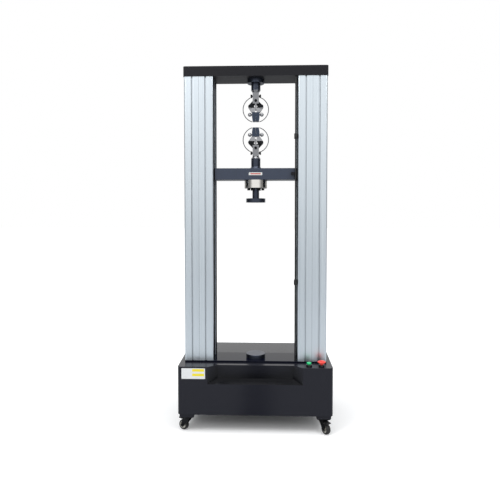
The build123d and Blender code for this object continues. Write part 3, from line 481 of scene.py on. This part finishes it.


# Columns: hollow extruded aluminium, brushed lengthwise and clear anodised. The die leaves
# fine straight lines down the whole length, so the sheen runs in upright streaks, and painted
# shade darkens the grooves.
die_line = 0.0022  # drawn coarser than real
die_run = 1.667
groove_reach = 0.008
anodised, tree, shader = material("clear_anodised_aluminium", "#c9cdd2", 0.34, 1.0)
where = add(tree, "TexCoord")
stretch = add(
    tree, "Mapping",
    {"Vector": where.outputs["Object"], "Scale": (1 / die_line, 1 / die_line, 1 / die_run)},
)
lines = add(tree, "TexNoise", {"Vector": stretch.outputs[0], "Scale": 1.0, "Detail": 3.0})
streak = add(
    tree, "MapRange",
    {"Value": lines.outputs["Fac"], "From Min": 0.3, "From Max": 0.7,
     "To Min": 0.27, "To Max": 0.42},
)
tree.links.new(streak.outputs["Result"], shader.inputs["Roughness"])
shade = add(
    tree, "Mix",
    {"Factor": lines.outputs["Fac"], "A": srgb("#c4ced6"), "B": srgb("#d7dfe4")},
    data_type="RGBA",
)
# Painted shade: ambient occlusion darkens the metal's colour in the grooves.
open_air = add(tree, "AmbientOcclusion", {"Distance": groove_reach}, samples=8, only_local=True)
open_share = add(
    tree, "MapRange", {"Value": open_air.outputs["AO"], "From Min": 0.3, "From Max": 0.9}
)
painted_groove_shade = add(
    tree, "Mix",
    {"Factor": open_share.outputs["Result"], "A": srgb("#8a9096"), "B": shade.outputs["Result"]},
    data_type="RGBA",
)
tree.links.new(painted_groove_shade.outputs["Result"], shader.inputs["Base Color"])
furrow = add(
    tree, "Bump", {"Height": lines.outputs["Fac"], "Strength": 0.06, "Distance": 0.0003}
)
tree.links.new(furrow.outputs["Normal"], shader.inputs["Normal"])
finish(anodised, "left_column", "right_column")


# Slot strips: black ABS strips pressed into the inner faces of the columns, with the fine
# grain of an extruded plastic.
drawn_line = 0.002  # drawn coarser than real
drawn_run = 0.25
strip_plastic, tree, shader = material("black_abs_strip", "#060607", 0.7, specular_ior_level=0.03)
where = add(tree, "TexCoord")
stretch = add(
    tree, "Mapping",
    {"Vector": where.outputs["Object"], "Scale": (1 / drawn_line, 1 / drawn_line, 1 / drawn_run)},
)
drawn = add(tree, "TexNoise", {"Vector": stretch.outputs[0], "Scale": 1.0, "Detail": 2.0})
grain = add(
    tree, "Bump", {"Height": drawn.outputs["Fac"], "Strength": 0.1, "Distance": 0.0002}
)
tree.links.new(grain.outputs["Normal"], shader.inputs["Normal"])
finish(strip_plastic, "column_slot_covers")


# Top beam and limit finger: steel machined all over and coated in satin black. The coat is
# thinner than the cover's and shows the long strokes of the mill under it.
mill_stroke = 0.004  # drawn coarser than real
mill_run = 0.1667
beam_coat, tree, shader = material(
    "satin_black_coated_steel", "#16161a", 0.45, specular_ior_level=0.16
)
where = add(tree, "TexCoord")
stretch = add(
    tree, "Mapping",
    {"Vector": where.outputs["Object"], "Scale": (1 / mill_run, 1 / mill_stroke, 1 / mill_stroke)},
)
strokes = add(tree, "TexNoise", {"Vector": stretch.outputs[0], "Scale": 1.0, "Detail": 2.0})
sheen = add(
    tree, "MapRange", {"Value": strokes.outputs["Fac"], "To Min": 0.38, "To Max": 0.54}
)
tree.links.new(sheen.outputs["Result"], shader.inputs["Roughness"])
relief = add(
    tree, "Bump", {"Height": strokes.outputs["Fac"], "Strength": 0.05, "Distance": 0.0003}
)
tree.links.new(relief.outputs["Normal"], shader.inputs["Normal"])
finish(beam_coat, "top_beam", "limit_finger")


# Crosshead: the same machined steel under a blue-grey satin coat, a little lighter than the
# top beam's. It runs from column to column and carries the load cell.
crosshead_coat, tree, shader = material("blue_grey_coated_steel", "#273041", 0.32)
where = add(tree, "TexCoord")
stretch = add(
    tree, "Mapping",
    {"Vector": where.outputs["Object"], "Scale": (1 / mill_run, 1 / mill_stroke, 1 / mill_stroke)},
)
strokes = add(tree, "TexNoise", {"Vector": stretch.outputs[0], "Scale": 1.0, "Detail": 2.0})
sheen = add(
    tree, "MapRange", {"Value": strokes.outputs["Fac"], "To Min": 0.26, "To Max": 0.42}
)
tree.links.new(sheen.outputs["Result"], shader.inputs["Roughness"])
relief = add(
    tree, "Bump", {"Height": strokes.outputs["Fac"], "Strength": 0.05, "Distance": 0.0003}
)
tree.links.new(relief.outputs["Normal"], shader.inputs["Normal"])
finish(crosshead_coat, "crosshead_beam")


# Beam bolts: low-head socket screws of blackened steel, four over each column, that clamp the
# top beam. Their heads stand on the beam.
bolt_head_radius = 0.009
bolt_head_height = 0.0048
bolt_edge = 0.0004
bolt_socket_radius = 0.0052
bolt_socket_depth = 0.0024
bolt_inset = 0.025
bolt_sunk = 0.001
bolt_steps = 20
bolt_outline = [
    (0, -bolt_edge),
    (bolt_head_radius, -bolt_edge),
    (bolt_head_radius, bolt_head_height - bolt_edge),
    (bolt_head_radius - 0.001, bolt_head_height),
    (bolt_socket_radius, bolt_head_height),
    (bolt_socket_radius - 0.0002, bolt_head_height - bolt_socket_depth),
    (0, bolt_head_height - bolt_socket_depth),
]
beam_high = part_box("top_beam")[1]
column_low, column_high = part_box("right_column")
beam_bolts = bmesh.new()
for side in (-1, 1):
    for x in (column_low.x + bolt_inset, column_high.x - bolt_inset):
        for y in (column_low.y + bolt_inset, column_high.y - bolt_inset):
            at = Vector((side * x, y, beam_high.z - bolt_sunk))
            turned(beam_bolts, bolt_outline, bolt_steps, Matrix.Translation(at))
solid("beam_bolts", beam_bolts, black_screw, "frame")


# Ball screws and guide rods: induction-hardened steel, ground and polished. The screw is
# rolled with a round-bottomed thread of 10 mm lead.
grind_patch = 0.0167
grind_ring = 0.00067  # drawn coarser than real
ground_steel, tree, shader = material("ground_hardened_steel", "#b9bcbf", 0.16, 1.0)
where = add(tree, "TexCoord")
stretch = add(
    tree, "Mapping",
    {"Vector": where.outputs["Object"],
     "Scale": (1 / grind_patch, 1 / grind_patch, 1 / grind_ring)},
)
rings = add(tree, "TexNoise", {"Vector": stretch.outputs[0], "Scale": 1.0, "Detail": 1.0})
grind = add(
    tree, "MapRange", {"Value": rings.outputs["Fac"], "To Min": 0.10, "To Max": 0.24}
)
tree.links.new(grind.outputs["Result"], shader.inputs["Roughness"])
finish(ground_steel, "guide_rods", "left_ball_screw", "right_ball_screw")
screw_lead = 0.010
screw_radius = 0.0125
journal_radius = 0.009
thread_depth = 0.0022
turn_steps = 20
doublings = 7
stub_steps = 32
bearing_height = 0.020
bearing_play = 0.0001
bearing_low, bearing_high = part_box("screw_bearings")
for side in ("left", "right"):
    low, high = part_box(f"{side}_ball_screw")
    axis = (low + high) / 2
    foot = bearing_low.z + bearing_height + bearing_play
    head = bearing_high.z - bearing_height - bearing_play
    collar_length = (head - foot - screw_lead * 2**doublings) / 2
    thread = bmesh.new()
    profile = [
        (screw_radius, 0.0),
        (screw_radius, 0.30),
        (screw_radius - thread_depth * 0.7, 0.42),
        (screw_radius - thread_depth, 0.65),
        (screw_radius - thread_depth * 0.7, 0.88),
        (screw_radius, 1.0),
    ]
    start = foot + collar_length
    points = [
        thread.verts.new((radius, 0, start + share * screw_lead)) for radius, share in profile
    ]
    edges = [thread.edges.new(pair) for pair in zip(points, points[1:])]
    bmesh.ops.spin(
        thread, geom=points + edges, cent=(0, 0, 0), axis=(0, 0, 1),
        dvec=(0, 0, screw_lead / turn_steps), angle=2 * math.pi, steps=turn_steps,
        use_merge=False, use_duplicate=False,
    )
    for step in range(doublings):
        whole = thread.verts[:] + thread.edges[:] + thread.faces[:]
        doubled = bmesh.ops.duplicate(thread, geom=whole)
        copied = [v for v in doubled["geom"] if isinstance(v, bmesh.types.BMVert)]
        bmesh.ops.translate(thread, vec=(0, 0, screw_lead * 2**step), verts=copied)
    bmesh.ops.remove_doubles(thread, verts=thread.verts, dist=1e-5)
    bmesh.ops.holes_fill(thread, edges=[e for e in thread.edges if e.is_boundary], sides=0)
    lower_end = foot + collar_length + screw_lead
    stub = [(0, low.z), (journal_radius, low.z), (journal_radius, foot), (screw_radius, foot)]
    stub += [(screw_radius, lower_end), (0, lower_end)]
    turned(thread, stub, stub_steps, Matrix.Identity(4))
    upper_end = head - collar_length - screw_lead
    stub = [(0, upper_end), (screw_radius, upper_end), (screw_radius, head)]
    stub += [(journal_radius, head), (journal_radius, high.z), (0, high.z)]
    turned(thread, stub, stub_steps, Matrix.Identity(4))
    bmesh.ops.translate(thread, vec=(axis.x, axis.y, 0), verts=thread.verts)
    screw = solid(
        f"{side}_threaded_screw", thread, ground_steel, f"{side}_screw"
    )
    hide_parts(f"{side}_ball_screw")


# Bearings, ball nuts and bushes: turned bearing steel and bronze with fine lathe rings.
# They sit inside the columns and show only through the slots.
# A wave texture of scale 1 repeats at this distance.
wave_repeat = math.pi / 10
lathe_ring = 0.00377  # drawn coarser than real
pore_size = 0.0011  # drawn coarser than real
bearing_steel, tree, shader = material("turned_bearing_steel", "#8f9193", 0.30, 1.0)
where = add(tree, "TexCoord")
cut = add(
    tree, "TexWave", {"Vector": where.outputs["Object"], "Scale": wave_repeat / lathe_ring},
    wave_type="BANDS", bands_direction="Z",
)
groove = add(
    tree, "Bump", {"Height": cut.outputs["Fac"], "Strength": 0.1, "Distance": 0.0002}
)
tree.links.new(groove.outputs["Normal"], shader.inputs["Normal"])
finish(bearing_steel, "screw_bearings", "ball_nuts")
bronze, tree, shader = material("sintered_bronze", "#a47b45", 0.38, 1.0)
where = add(tree, "TexCoord")
pores = add(tree, "TexNoise", {"Vector": where.outputs["Object"], "Scale": 1 / pore_size})
pitted = add(
    tree, "MapRange", {"Value": pores.outputs["Fac"], "To Min": 0.3, "To Max": 0.5}
)
tree.links.new(pitted.outputs["Result"], shader.inputs["Roughness"])
finish(bronze, "guide_bushings")


# Belt drive, motor and control box: inside the closed base. Hard-anodised pulleys, a
# neoprene belt, a painted motor and a cast control box.
pulley_grain = 0.0033  # drawn coarser than real
weave_cell = 0.0014  # drawn coarser than real
paint_grain = 0.0029  # drawn coarser than real
blast_grit = 0.0008  # drawn coarser than real
pulley_metal, tree, shader = material("hard_anodised_pulley", "#6c6f73", 0.40, 1.0)
where = add(tree, "TexCoord")
cut = add(
    tree, "TexNoise",
    {"Vector": where.outputs["Object"], "Scale": 1 / pulley_grain, "Detail": 2.0},
)
tone = add(tree, "MapRange", {"Value": cut.outputs["Fac"], "To Min": 0.32, "To Max": 0.5})
tree.links.new(tone.outputs["Result"], shader.inputs["Roughness"])
finish(pulley_metal, "left_screw_pulley", "right_screw_pulley", "motor_pulley")
neoprene, tree, shader = material("neoprene_belt", "#1a1a1a", 0.7)
where = add(tree, "TexCoord")
weave = add(tree, "TexVoronoi", {"Vector": where.outputs["Object"], "Scale": 1 / weave_cell})
nap = add(
    tree, "Bump", {"Height": weave.outputs["Distance"], "Strength": 0.2, "Distance": 0.0003}
)
tree.links.new(nap.outputs["Normal"], shader.inputs["Normal"])
finish(neoprene, "timing_belt")
motor_paint, tree, shader = material("motor_enamel", "#1b1c1e", 0.42)
where = add(tree, "TexCoord")
rough = add(
    tree, "TexNoise",
    {"Vector": where.outputs["Object"], "Scale": 1 / paint_grain, "Detail": 3.0},
)
skin = add(
    tree, "Bump", {"Height": rough.outputs["Fac"], "Strength": 0.15, "Distance": 0.0003}
)
tree.links.new(skin.outputs["Normal"], shader.inputs["Normal"])
finish(motor_paint, "motor")
cast_case, tree, shader = material("blasted_cast_aluminium", "#7d8084", 0.48, 1.0)
where = add(tree, "TexCoord")
blast = add(
    tree, "TexNoise",
    {"Vector": where.outputs["Object"], "Scale": 1 / blast_grit, "Detail": 2.0},
)
skin = add(
    tree, "Bump", {"Height": blast.outputs["Fac"], "Strength": 0.2, "Distance": 0.0002}
)
tree.links.new(skin.outputs["Normal"], shader.inputs["Normal"])
finish(cast_case, "controller_box")


# Mains inlet: a moulded black nylon shell that snaps into the rear panel. The mould was spark
# eroded, which leaves the shell matt.
spark_pit = 0.0007  # drawn coarser than real
nylon, tree, shader = material("moulded_black_nylon", "#121213", 0.5)
where = add(tree, "TexCoord")
spark = add(
    tree, "TexNoise",
    {"Vector": where.outputs["Object"], "Scale": 1 / spark_pit, "Detail": 2.0},
)
skin = add(
    tree, "Bump", {"Height": spark.outputs["Fac"], "Strength": 0.25, "Distance": 0.0002}
)
tree.links.new(skin.outputs["Normal"], shader.inputs["Normal"])
finish(nylon, "power_inlet")


# Name plate on the crosshead: a thin aluminium strip, printed pale grey with one plain red
# band where the real one has its lettering, and a rivet at each end.
name_width = 0.068
name_height = 0.014
name_middle = 1.2935
name_thickness = 0.0008
name_corner = 0.002
name_margin = 0.008
name_band_half = 0.0028
rivet_inset = 0.005
rivet_steps = 12
rivet_outline = [(0, -0.0004), (0.0014, -0.0004), (0.001, 0.0005), (0, 0.0008)]
brush_line = 0.002  # drawn coarser than real
crosshead_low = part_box("crosshead_beam")[0]
printed, tree, shader = material("printed_aluminium_plate", "#c8cbc9", 0.35, 0.3)
where = add(tree, "TexCoord")
centre = add(
    tree, "Mapping", {"Vector": where.outputs["Object"], "Location": (0, 0, -name_middle)}
)
spot = add(tree, "SeparateXYZ", {"Vector": centre.outputs[0]})
across = add(tree, "Math", {0: spot.outputs["X"]}, operation="ABSOLUTE")
upward = add(tree, "Math", {0: spot.outputs["Z"]}, operation="ABSOLUTE")
inside = add(
    tree, "Math", {0: across.outputs[0], 1: name_width / 2 - name_margin},
    operation="LESS_THAN",
)
within = add(tree, "Math", {0: upward.outputs[0], 1: name_band_half}, operation="LESS_THAN")
stripe = add(tree, "Math", {0: inside.outputs[0], 1: within.outputs[0]}, operation="MULTIPLY")
brushed = add(tree, "TexNoise", {"Vector": where.outputs["Object"], "Scale": 1 / brush_line})
field = add(
    tree, "Mix",
    {"Factor": brushed.outputs["Fac"], "A": srgb("#c2c5c3"), "B": srgb("#d5d7d4")},
    data_type="RGBA",
)
face = add(
    tree, "Mix",
    {"Factor": stripe.outputs[0], "A": field.outputs["Result"], "B": srgb("#b5473f")},
    data_type="RGBA",
)
tree.links.new(face.outputs["Result"], shader.inputs["Base Color"])
name_plate = bmesh.new()
plate(
    name_plate,
    (-name_width / 2, crosshead_low.y - name_thickness, name_middle - name_height / 2),
    (name_width / 2, crosshead_low.y + name_thickness, name_middle + name_height / 2),
    name_corner,
)
for side in (-1, 1):
    x = side * (name_width / 2 - rivet_inset)
    at = Vector((x, crosshead_low.y - name_thickness, name_middle))
    turned(name_plate, rivet_outline, rivet_steps, facing(at, (0, -1, 0)))
solid("blank_name_plate", name_plate, printed, "crosshead")


# Load cell: a round steel spool, turned and bright nickel plated. It mirrors the white room
# and the black bolts and crosshead round it, and its rim looks darker than its middle.
smudge_width = 0.04
turning_ring = 0.005215  # drawn coarser than real
nickel, tree, shader = material(
    "bright_nickel_plate", "#dddbd6", 0.12, 1.0, specular_tint=srgb("#707070")
)
where = add(tree, "TexCoord")
smudge = add(
    tree, "TexNoise",
    {"Vector": where.outputs["Object"], "Scale": 1 / smudge_width, "Detail": 4.0},
)
film_haze = add(
    tree, "MapRange",
    {"Value": smudge.outputs["Fac"], "From Min": 0.35, "From Max": 0.7,
     "To Min": 0.08, "To Max": 0.2},
)
tree.links.new(film_haze.outputs["Result"], shader.inputs["Roughness"])
rings = add(
    tree, "TexWave", {"Vector": where.outputs["Object"], "Scale": wave_repeat / turning_ring},
    wave_type="BANDS", bands_direction="Z",
)
turning = add(
    tree, "Bump", {"Height": rings.outputs["Fac"], "Strength": 0.03, "Distance": 0.0002}
)
tree.links.new(turning.outputs["Normal"], shader.inputs["Normal"])
finish(nickel, "load_cell")


# Platens, adapters and bolts: tool steel, turned and ground, then chemically blackened.
# Fine rings round the load line show on the flat faces.
platen_ring = 0.02513  # drawn coarser than real
patina_patch = 0.025
load_y = (column_low.y + column_high.y) / 2
black_oxide, tree, shader = material("black_oxide_tool_steel", "#3b404c", 0.32, 0.85)
where = add(tree, "TexCoord")
centre = add(
    tree, "Mapping",
    {"Vector": where.outputs["Object"], "Location": (0, -load_y, 0), "Scale": (1, 1, 0)},
)
rings = add(
    tree, "TexWave", {"Vector": centre.outputs[0], "Scale": wave_repeat / platen_ring},
    wave_type="RINGS", rings_direction="Z",
)
relief = add(
    tree, "Bump", {"Height": rings.outputs["Fac"], "Strength": 0.08, "Distance": 0.0003}
)
tree.links.new(relief.outputs["Normal"], shader.inputs["Normal"])
cloud = add(
    tree, "TexNoise",
    {"Vector": where.outputs["Object"], "Scale": 1 / patina_patch, "Detail": 3.0},
)
patina = add(
    tree, "MapRange", {"Value": cloud.outputs["Fac"], "To Min": 0.22, "To Max": 0.42}
)
tree.links.new(patina.outputs["Result"], shader.inputs["Roughness"])
finish(black_oxide, "upper_platen", "lower_platen", "upper_adapter", "lower_adapter")
finish(black_screw, "load_cell_bolts", "upper_grip_pins", "lower_grip_pins")


# Grip bodies: stainless steel forks, milled and then satin ground, each screwed on its adapter.
# The grinding runs across them and draws their sheen out sideways.
satin_run = 0.033
satin_line = 0.00056  # drawn coarser than real
satin_steel, tree, shader = material("satin_ground_stainless", "#86878a", 0.28, 1.0)
where = add(tree, "TexCoord")
stretch = add(
    tree, "Mapping",
    {"Vector": where.outputs["Object"], "Scale": (1 / satin_run, 1 / satin_run, 1 / satin_line)},
)
lines = add(tree, "TexNoise", {"Vector": stretch.outputs[0], "Scale": 1.0, "Detail": 2.0})
satin = add(
    tree, "MapRange", {"Value": lines.outputs["Fac"], "To Min": 0.2, "To Max": 0.38}
)
tree.links.new(satin.outputs["Result"], shader.inputs["Roughness"])
finish(satin_steel, "upper_grip_body", "lower_grip_body")


# Grip arms with their knobs: forged steel, blackened, with a slightly uneven skin. The front
# and back flats of the arms and the knobs are ground bright.
forged_black = "#1d1e21"
ground_bright = "#98999c"
forge_pit = 0.0038
knob_out = 0.031
knob_rise = 0.036
knob_radius = 0.0115
ground_length = 0.069
flat_enough = 0.9
forged, tree, shader = material("blackened_forged_steel", forged_black, 0.36, 0.9)
where = add(tree, "TexCoord")
grip_middle = (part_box("upper_right_jaw")[0].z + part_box("lower_right_jaw")[1].z) / 2
grip_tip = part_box("upper_right_jaw")[0].z - grip_middle
centre = add(
    tree, "Mapping",
    {"Vector": where.outputs["Object"], "Location": (0, -load_y, -grip_middle)},
)
folded = add(tree, "VectorMath", {0: centre.outputs[0]}, operation="ABSOLUTE")
knob = add(
    tree, "VectorMath", {0: folded.outputs[0], 1: (knob_out, 0, grip_tip + knob_rise)},
    operation="DISTANCE",
)
on_knob = add(tree, "Math", {0: knob.outputs["Value"], 1: knob_radius}, operation="LESS_THAN")
flat = add(tree, "NewGeometry")
facing_out = add(tree, "VectorMath", {0: flat.outputs["Normal"]}, operation="ABSOLUTE")
parts = add(tree, "SeparateXYZ", {"Vector": facing_out.outputs[0]})
on_flat = add(tree, "Math", {0: parts.outputs["Y"], 1: flat_enough}, operation="GREATER_THAN")
spot = add(tree, "SeparateXYZ", {"Vector": folded.outputs[0]})
below = add(
    tree, "Math", {0: spot.outputs["Z"], 1: grip_tip + ground_length}, operation="LESS_THAN"
)
ground_flat = add(
    tree, "Math", {0: on_flat.outputs[0], 1: below.outputs[0]}, operation="MULTIPLY"
)
bright = add(
    tree, "Math", {0: ground_flat.outputs[0], 1: on_knob.outputs[0]}, operation="MAXIMUM"
)
two_tone = add(
    tree, "Mix",
    {"Factor": bright.outputs[0], "A": srgb(forged_black), "B": srgb(ground_bright)},
    data_type="RGBA",
)
tree.links.new(two_tone.outputs["Result"], shader.inputs["Base Color"])
skin_noise = add(
    tree, "TexNoise",
    {"Vector": where.outputs["Object"], "Scale": 1 / forge_pit, "Detail": 3.0},
)
skin = add(
    tree, "Bump", {"Height": skin_noise.outputs["Fac"], "Strength": 0.2, "Distance": 0.0004}
)
tree.links.new(skin.outputs["Normal"], shader.inputs["Normal"])
for level in ("upper", "lower"):
    finish(forged, f"{level}_left_arm", f"{level}_right_arm")


# Jaws: hardened tool steel, blued in the furnace, milled with a file-cut grip. The cut is
# drawn as fine lines across the jaw.
file_cut = 0.009425  # drawn coarser than real
blued, tree, shader = material("blued_jaw_steel", "#3b4351", 0.30, 0.9)
where = add(tree, "TexCoord")
cut = add(
    tree, "TexWave", {"Vector": where.outputs["Object"], "Scale": wave_repeat / file_cut},
    wave_type="BANDS", bands_direction="Z",
)
teeth = add(
    tree, "Bump", {"Height": cut.outputs["Fac"], "Strength": 0.3, "Distance": 0.0004}
)
tree.links.new(teeth.outputs["Normal"], shader.inputs["Normal"])
for level in ("upper", "lower"):
    finish(blued, f"{level}_left_jaw", f"{level}_right_jaw")


# Ring springs: hard-drawn spring wire, bent to a round hoop on each side of a grip. It is
# blended between the fork that holds one end and the jaw that it presses.
ring_radius = 0.0655
ring_rise = 0.0625
cap_reach = 0.0277
jaw_reach = 0.0186
wire_radius = 0.002
wire_sides = 12
ring_steps = 44
drawing_line = 0.0014  # drawn coarser than real
wire_steel, tree, shader = material("hard_drawn_spring_wire", "#3c3e41", 0.34, 0.9)
where = add(tree, "TexCoord")
draw = add(tree, "TexNoise", {"Vector": where.outputs["Object"], "Scale": 1 / drawing_line})
drawn = add(tree, "MapRange", {"Value": draw.outputs["Fac"], "To Min": 0.22, "To Max": 0.4})
tree.links.new(drawn.outputs["Result"], shader.inputs["Roughness"])
finish(wire_steel, "upper_grip_springs", "lower_grip_springs")
cap_angle = math.acos(cap_reach / ring_radius)
jaw_angle = -math.acos(jaw_reach / ring_radius)
for level in ("upper", "lower"):
    up = 1 if level == "upper" else -1
    jaw_low, jaw_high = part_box(f"{level}_right_jaw")
    ring_z = jaw_low.z + ring_rise if up == 1 else jaw_high.z - ring_rise
    for side, across in (("left", -1), ("right", 1)):
        hoop = bmesh.new()
        wire = bmesh.ops.create_circle(
            hoop, cap_ends=False, radius=wire_radius, segments=wire_sides
        )["verts"]
        bmesh.ops.translate(hoop, vec=(ring_radius, 0, 0), verts=wire)
        bmesh.ops.rotate(
            hoop, cent=(0, 0, 0), matrix=Matrix.Rotation(-cap_angle, 3, "Y"), verts=wire
        )
        bmesh.ops.spin(
            hoop, geom=list(hoop.verts) + list(hoop.edges), cent=(0, 0, 0), axis=(0, 1, 0),
            dvec=(0, 0, 0), angle=cap_angle - jaw_angle, steps=ring_steps, use_merge=False,
            use_duplicate=False,
        )
        bmesh.ops.holes_fill(hoop, edges=[e for e in hoop.edges if e.is_boundary], sides=0)
        bmesh.ops.scale(hoop, vec=(across, 1, up), verts=hoop.verts)
        bmesh.ops.translate(hoop, vec=(0, load_y, ring_z), verts=hoop.verts)
        piece = solid(f"{level}_{side}_ring_spring", hoop, wire_steel, None)
        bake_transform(piece)
        if side == "left":
            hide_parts(f"{level}_grip_springs")


# Limit rod and collars: a thin rod, painted black, and two moulded nylon collars on it. A
# clamping screw holds each where the crosshead has to stop.
brush_mark = 0.0083
rod_paint, tree, shader = material("black_painted_rod", "#131314", 0.34)
where = add(tree, "TexCoord")
runs = add(tree, "TexNoise", {"Vector": where.outputs["Object"], "Scale": 1 / brush_mark})
tone = add(tree, "MapRange", {"Value": runs.outputs["Fac"], "To Min": 0.28, "To Max": 0.42})
tree.links.new(tone.outputs["Result"], shader.inputs["Roughness"])
finish(rod_paint, "limit_rod")
finish(nylon, "upper_limit_collar", "lower_limit_collar")


# Push buttons: glossy moulded plastic caps in black bezels, one green and flat, one red with
# a mushroom head.
mould_grain = 0.002  # drawn coarser than real
pigment_cloud = 0.011
bezel_gloss, tree, shader = material("gloss_black_bezel", "#0c0c0d", 0.2)
where = add(tree, "TexCoord")
mould = add(tree, "TexNoise", {"Vector": where.outputs["Object"], "Scale": 1 / mould_grain})
tone = add(tree, "MapRange", {"Value": mould.outputs["Fac"], "To Min": 0.16, "To Max": 0.26})
tree.links.new(tone.outputs["Result"], shader.inputs["Roughness"])
finish(bezel_gloss, "button_bezels")
for name, node_name, colour, deep in (
    ("green_button_plastic", "start_button", "#04c578", "#04b56c"),
    ("red_button_plastic", "stop_button", "#ea3a2c", "#d92e24"),
):
    cap, tree, shader = material(name, colour, 0.24)
    where = add(tree, "TexCoord")
    cloud = add(
        tree, "TexNoise",
        {"Vector": where.outputs["Object"], "Scale": 1 / pigment_cloud, "Detail": 2.0},
    )
    shade = add(
        tree, "Mix", {"Factor": cloud.outputs["Fac"], "A": srgb(deep), "B": srgb(colour)},
        data_type="RGBA",
    )
    tree.links.new(shade.outputs["Result"], shader.inputs["Base Color"])
    finish(cap, node_name)


# Casters: black zinc-plated pressed forks and plates, bright steel wheel discs with a black
# rubber tread, and a black brake pedal over each front wheel.
spangle_width = 0.0038
tread_grain = 0.0008  # drawn coarser than real
disc_mottle = 0.0045
zinc, tree, shader = material("black_zinc_plate", "#1c1d1f", 0.28, 0.9)
where = add(tree, "TexCoord")
spangle = add(
    tree, "TexVoronoi", {"Vector": where.outputs["Object"], "Scale": 1 / spangle_width}
)
tone = add(
    tree, "MapRange", {"Value": spangle.outputs["Distance"], "To Min": 0.24, "To Max": 0.42}
)
tree.links.new(tone.outputs["Result"], shader.inputs["Roughness"])
casters = ("front_left", "front_right", "rear_left", "rear_right")
finish(zinc, "caster_plates", *[f"{name}_caster_fork" for name in casters])
finish(nylon, "front_left_brake_pedal", "front_right_brake_pedal")

tread_rubber, tree, shader = material("black_tread_rubber", "#161616", 0.62)
where = add(tree, "TexCoord")
pitting = add(
    tree, "TexNoise",
    {"Vector": where.outputs["Object"], "Scale": 1 / tread_grain, "Detail": 2.0},
)
skin = add(
    tree, "Bump", {"Height": pitting.outputs["Fac"], "Strength": 0.25, "Distance": 0.0003}
)
tree.links.new(skin.outputs["Normal"], shader.inputs["Normal"])
disc_steel, tree, shader = material("bright_pressed_steel_disc", "#c2c0b8", 0.24, 1.0)
where = add(tree, "TexCoord")
mottle = add(
    tree, "TexNoise",
    {"Vector": where.outputs["Object"], "Scale": 1 / disc_mottle, "Detail": 2.0},
)
shade = add(
    tree, "Mix", {"Factor": mottle.outputs["Fac"], "A": srgb("#b4b2aa"), "B": srgb("#cfcdc6")},
    data_type="RGBA",
)
tree.links.new(shade.outputs["Result"], shader.inputs["Base Color"])

finish(tread_rubber, *[f"{name}_caster_wheel" for name in casters])
wheel_radius = 0.025
half_width = 0.012
bore_radius = 0.0043
disc_radius = 0.0172
tread_steps = 48
disc_steps = 40
rib_count = 6
rib_length = 0.0052
rib_thickness = 0.0016
rib_recess = 0.003
rib_middle = (bore_radius + disc_radius) / 2 + 0.0005
tread_outline = [
    (disc_radius - 0.0006, -half_width + 0.0022),
    (disc_radius + 0.0006, -half_width + 0.0012),
    (wheel_radius - 0.0030, -half_width + 0.0004),
    (wheel_radius - 0.0008, -half_width + 0.0034),
    (wheel_radius, -half_width + 0.0070),
    (wheel_radius, half_width - 0.0070),
    (wheel_radius - 0.0008, half_width - 0.0034),
    (wheel_radius - 0.0030, half_width - 0.0004),
    (disc_radius + 0.0006, half_width - 0.0012),
    (disc_radius - 0.0006, half_width - 0.0022),
]
disc_outline = [
    (bore_radius, -half_width),
    (bore_radius + 0.0035, -half_width),
    (bore_radius + 0.0045, -half_width + 0.0035),
    (disc_radius - 0.0035, -half_width + 0.0035),
    (disc_radius - 0.0022, -half_width + 0.0012),
    (disc_radius, -half_width + 0.0012),
    (disc_radius, half_width - 0.0012),
    (disc_radius - 0.0022, half_width - 0.0012),
    (disc_radius - 0.0035, half_width - 0.0035),
    (bore_radius + 0.0045, half_width - 0.0035),
    (bore_radius + 0.0035, half_width),
    (bore_radius, half_width),
]
for joint in frame["joints"]:
    if not joint["name"].endswith("_wheel_roll"):
        continue
    name = joint["name"].replace("_wheel_roll", "")
    place = facing(Vector(joint["pos_m"]), joint["axis"])
    tread = bmesh.new()
    turned(tread, tread_outline + tread_outline[:1], tread_steps, place)
    tyre = solid(f"{name}_tread", tread, tread_rubber, f"{name}_wheel")
    disc = bmesh.new()
    turned(disc, disc_outline + disc_outline[:1], disc_steps, place)
    for index in range(rib_count):
        turn = Matrix.Rotation(2 * math.pi * index / rib_count, 4, "Z")
        rib = bmesh.ops.create_cube(disc, size=1.0)["verts"]
        bmesh.ops.scale(
            disc, vec=(rib_length, rib_thickness, 2 * half_width - rib_recess), verts=rib
        )
        bmesh.ops.translate(disc, vec=(rib_middle, 0, 0), verts=rib)
        bmesh.ops.transform(disc, matrix=place @ turn, verts=rib)
    solid(f"{name}_wheel_disc", disc, disc_steel, f"{name}_wheel")
    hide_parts(f"{name}_caster_wheel")
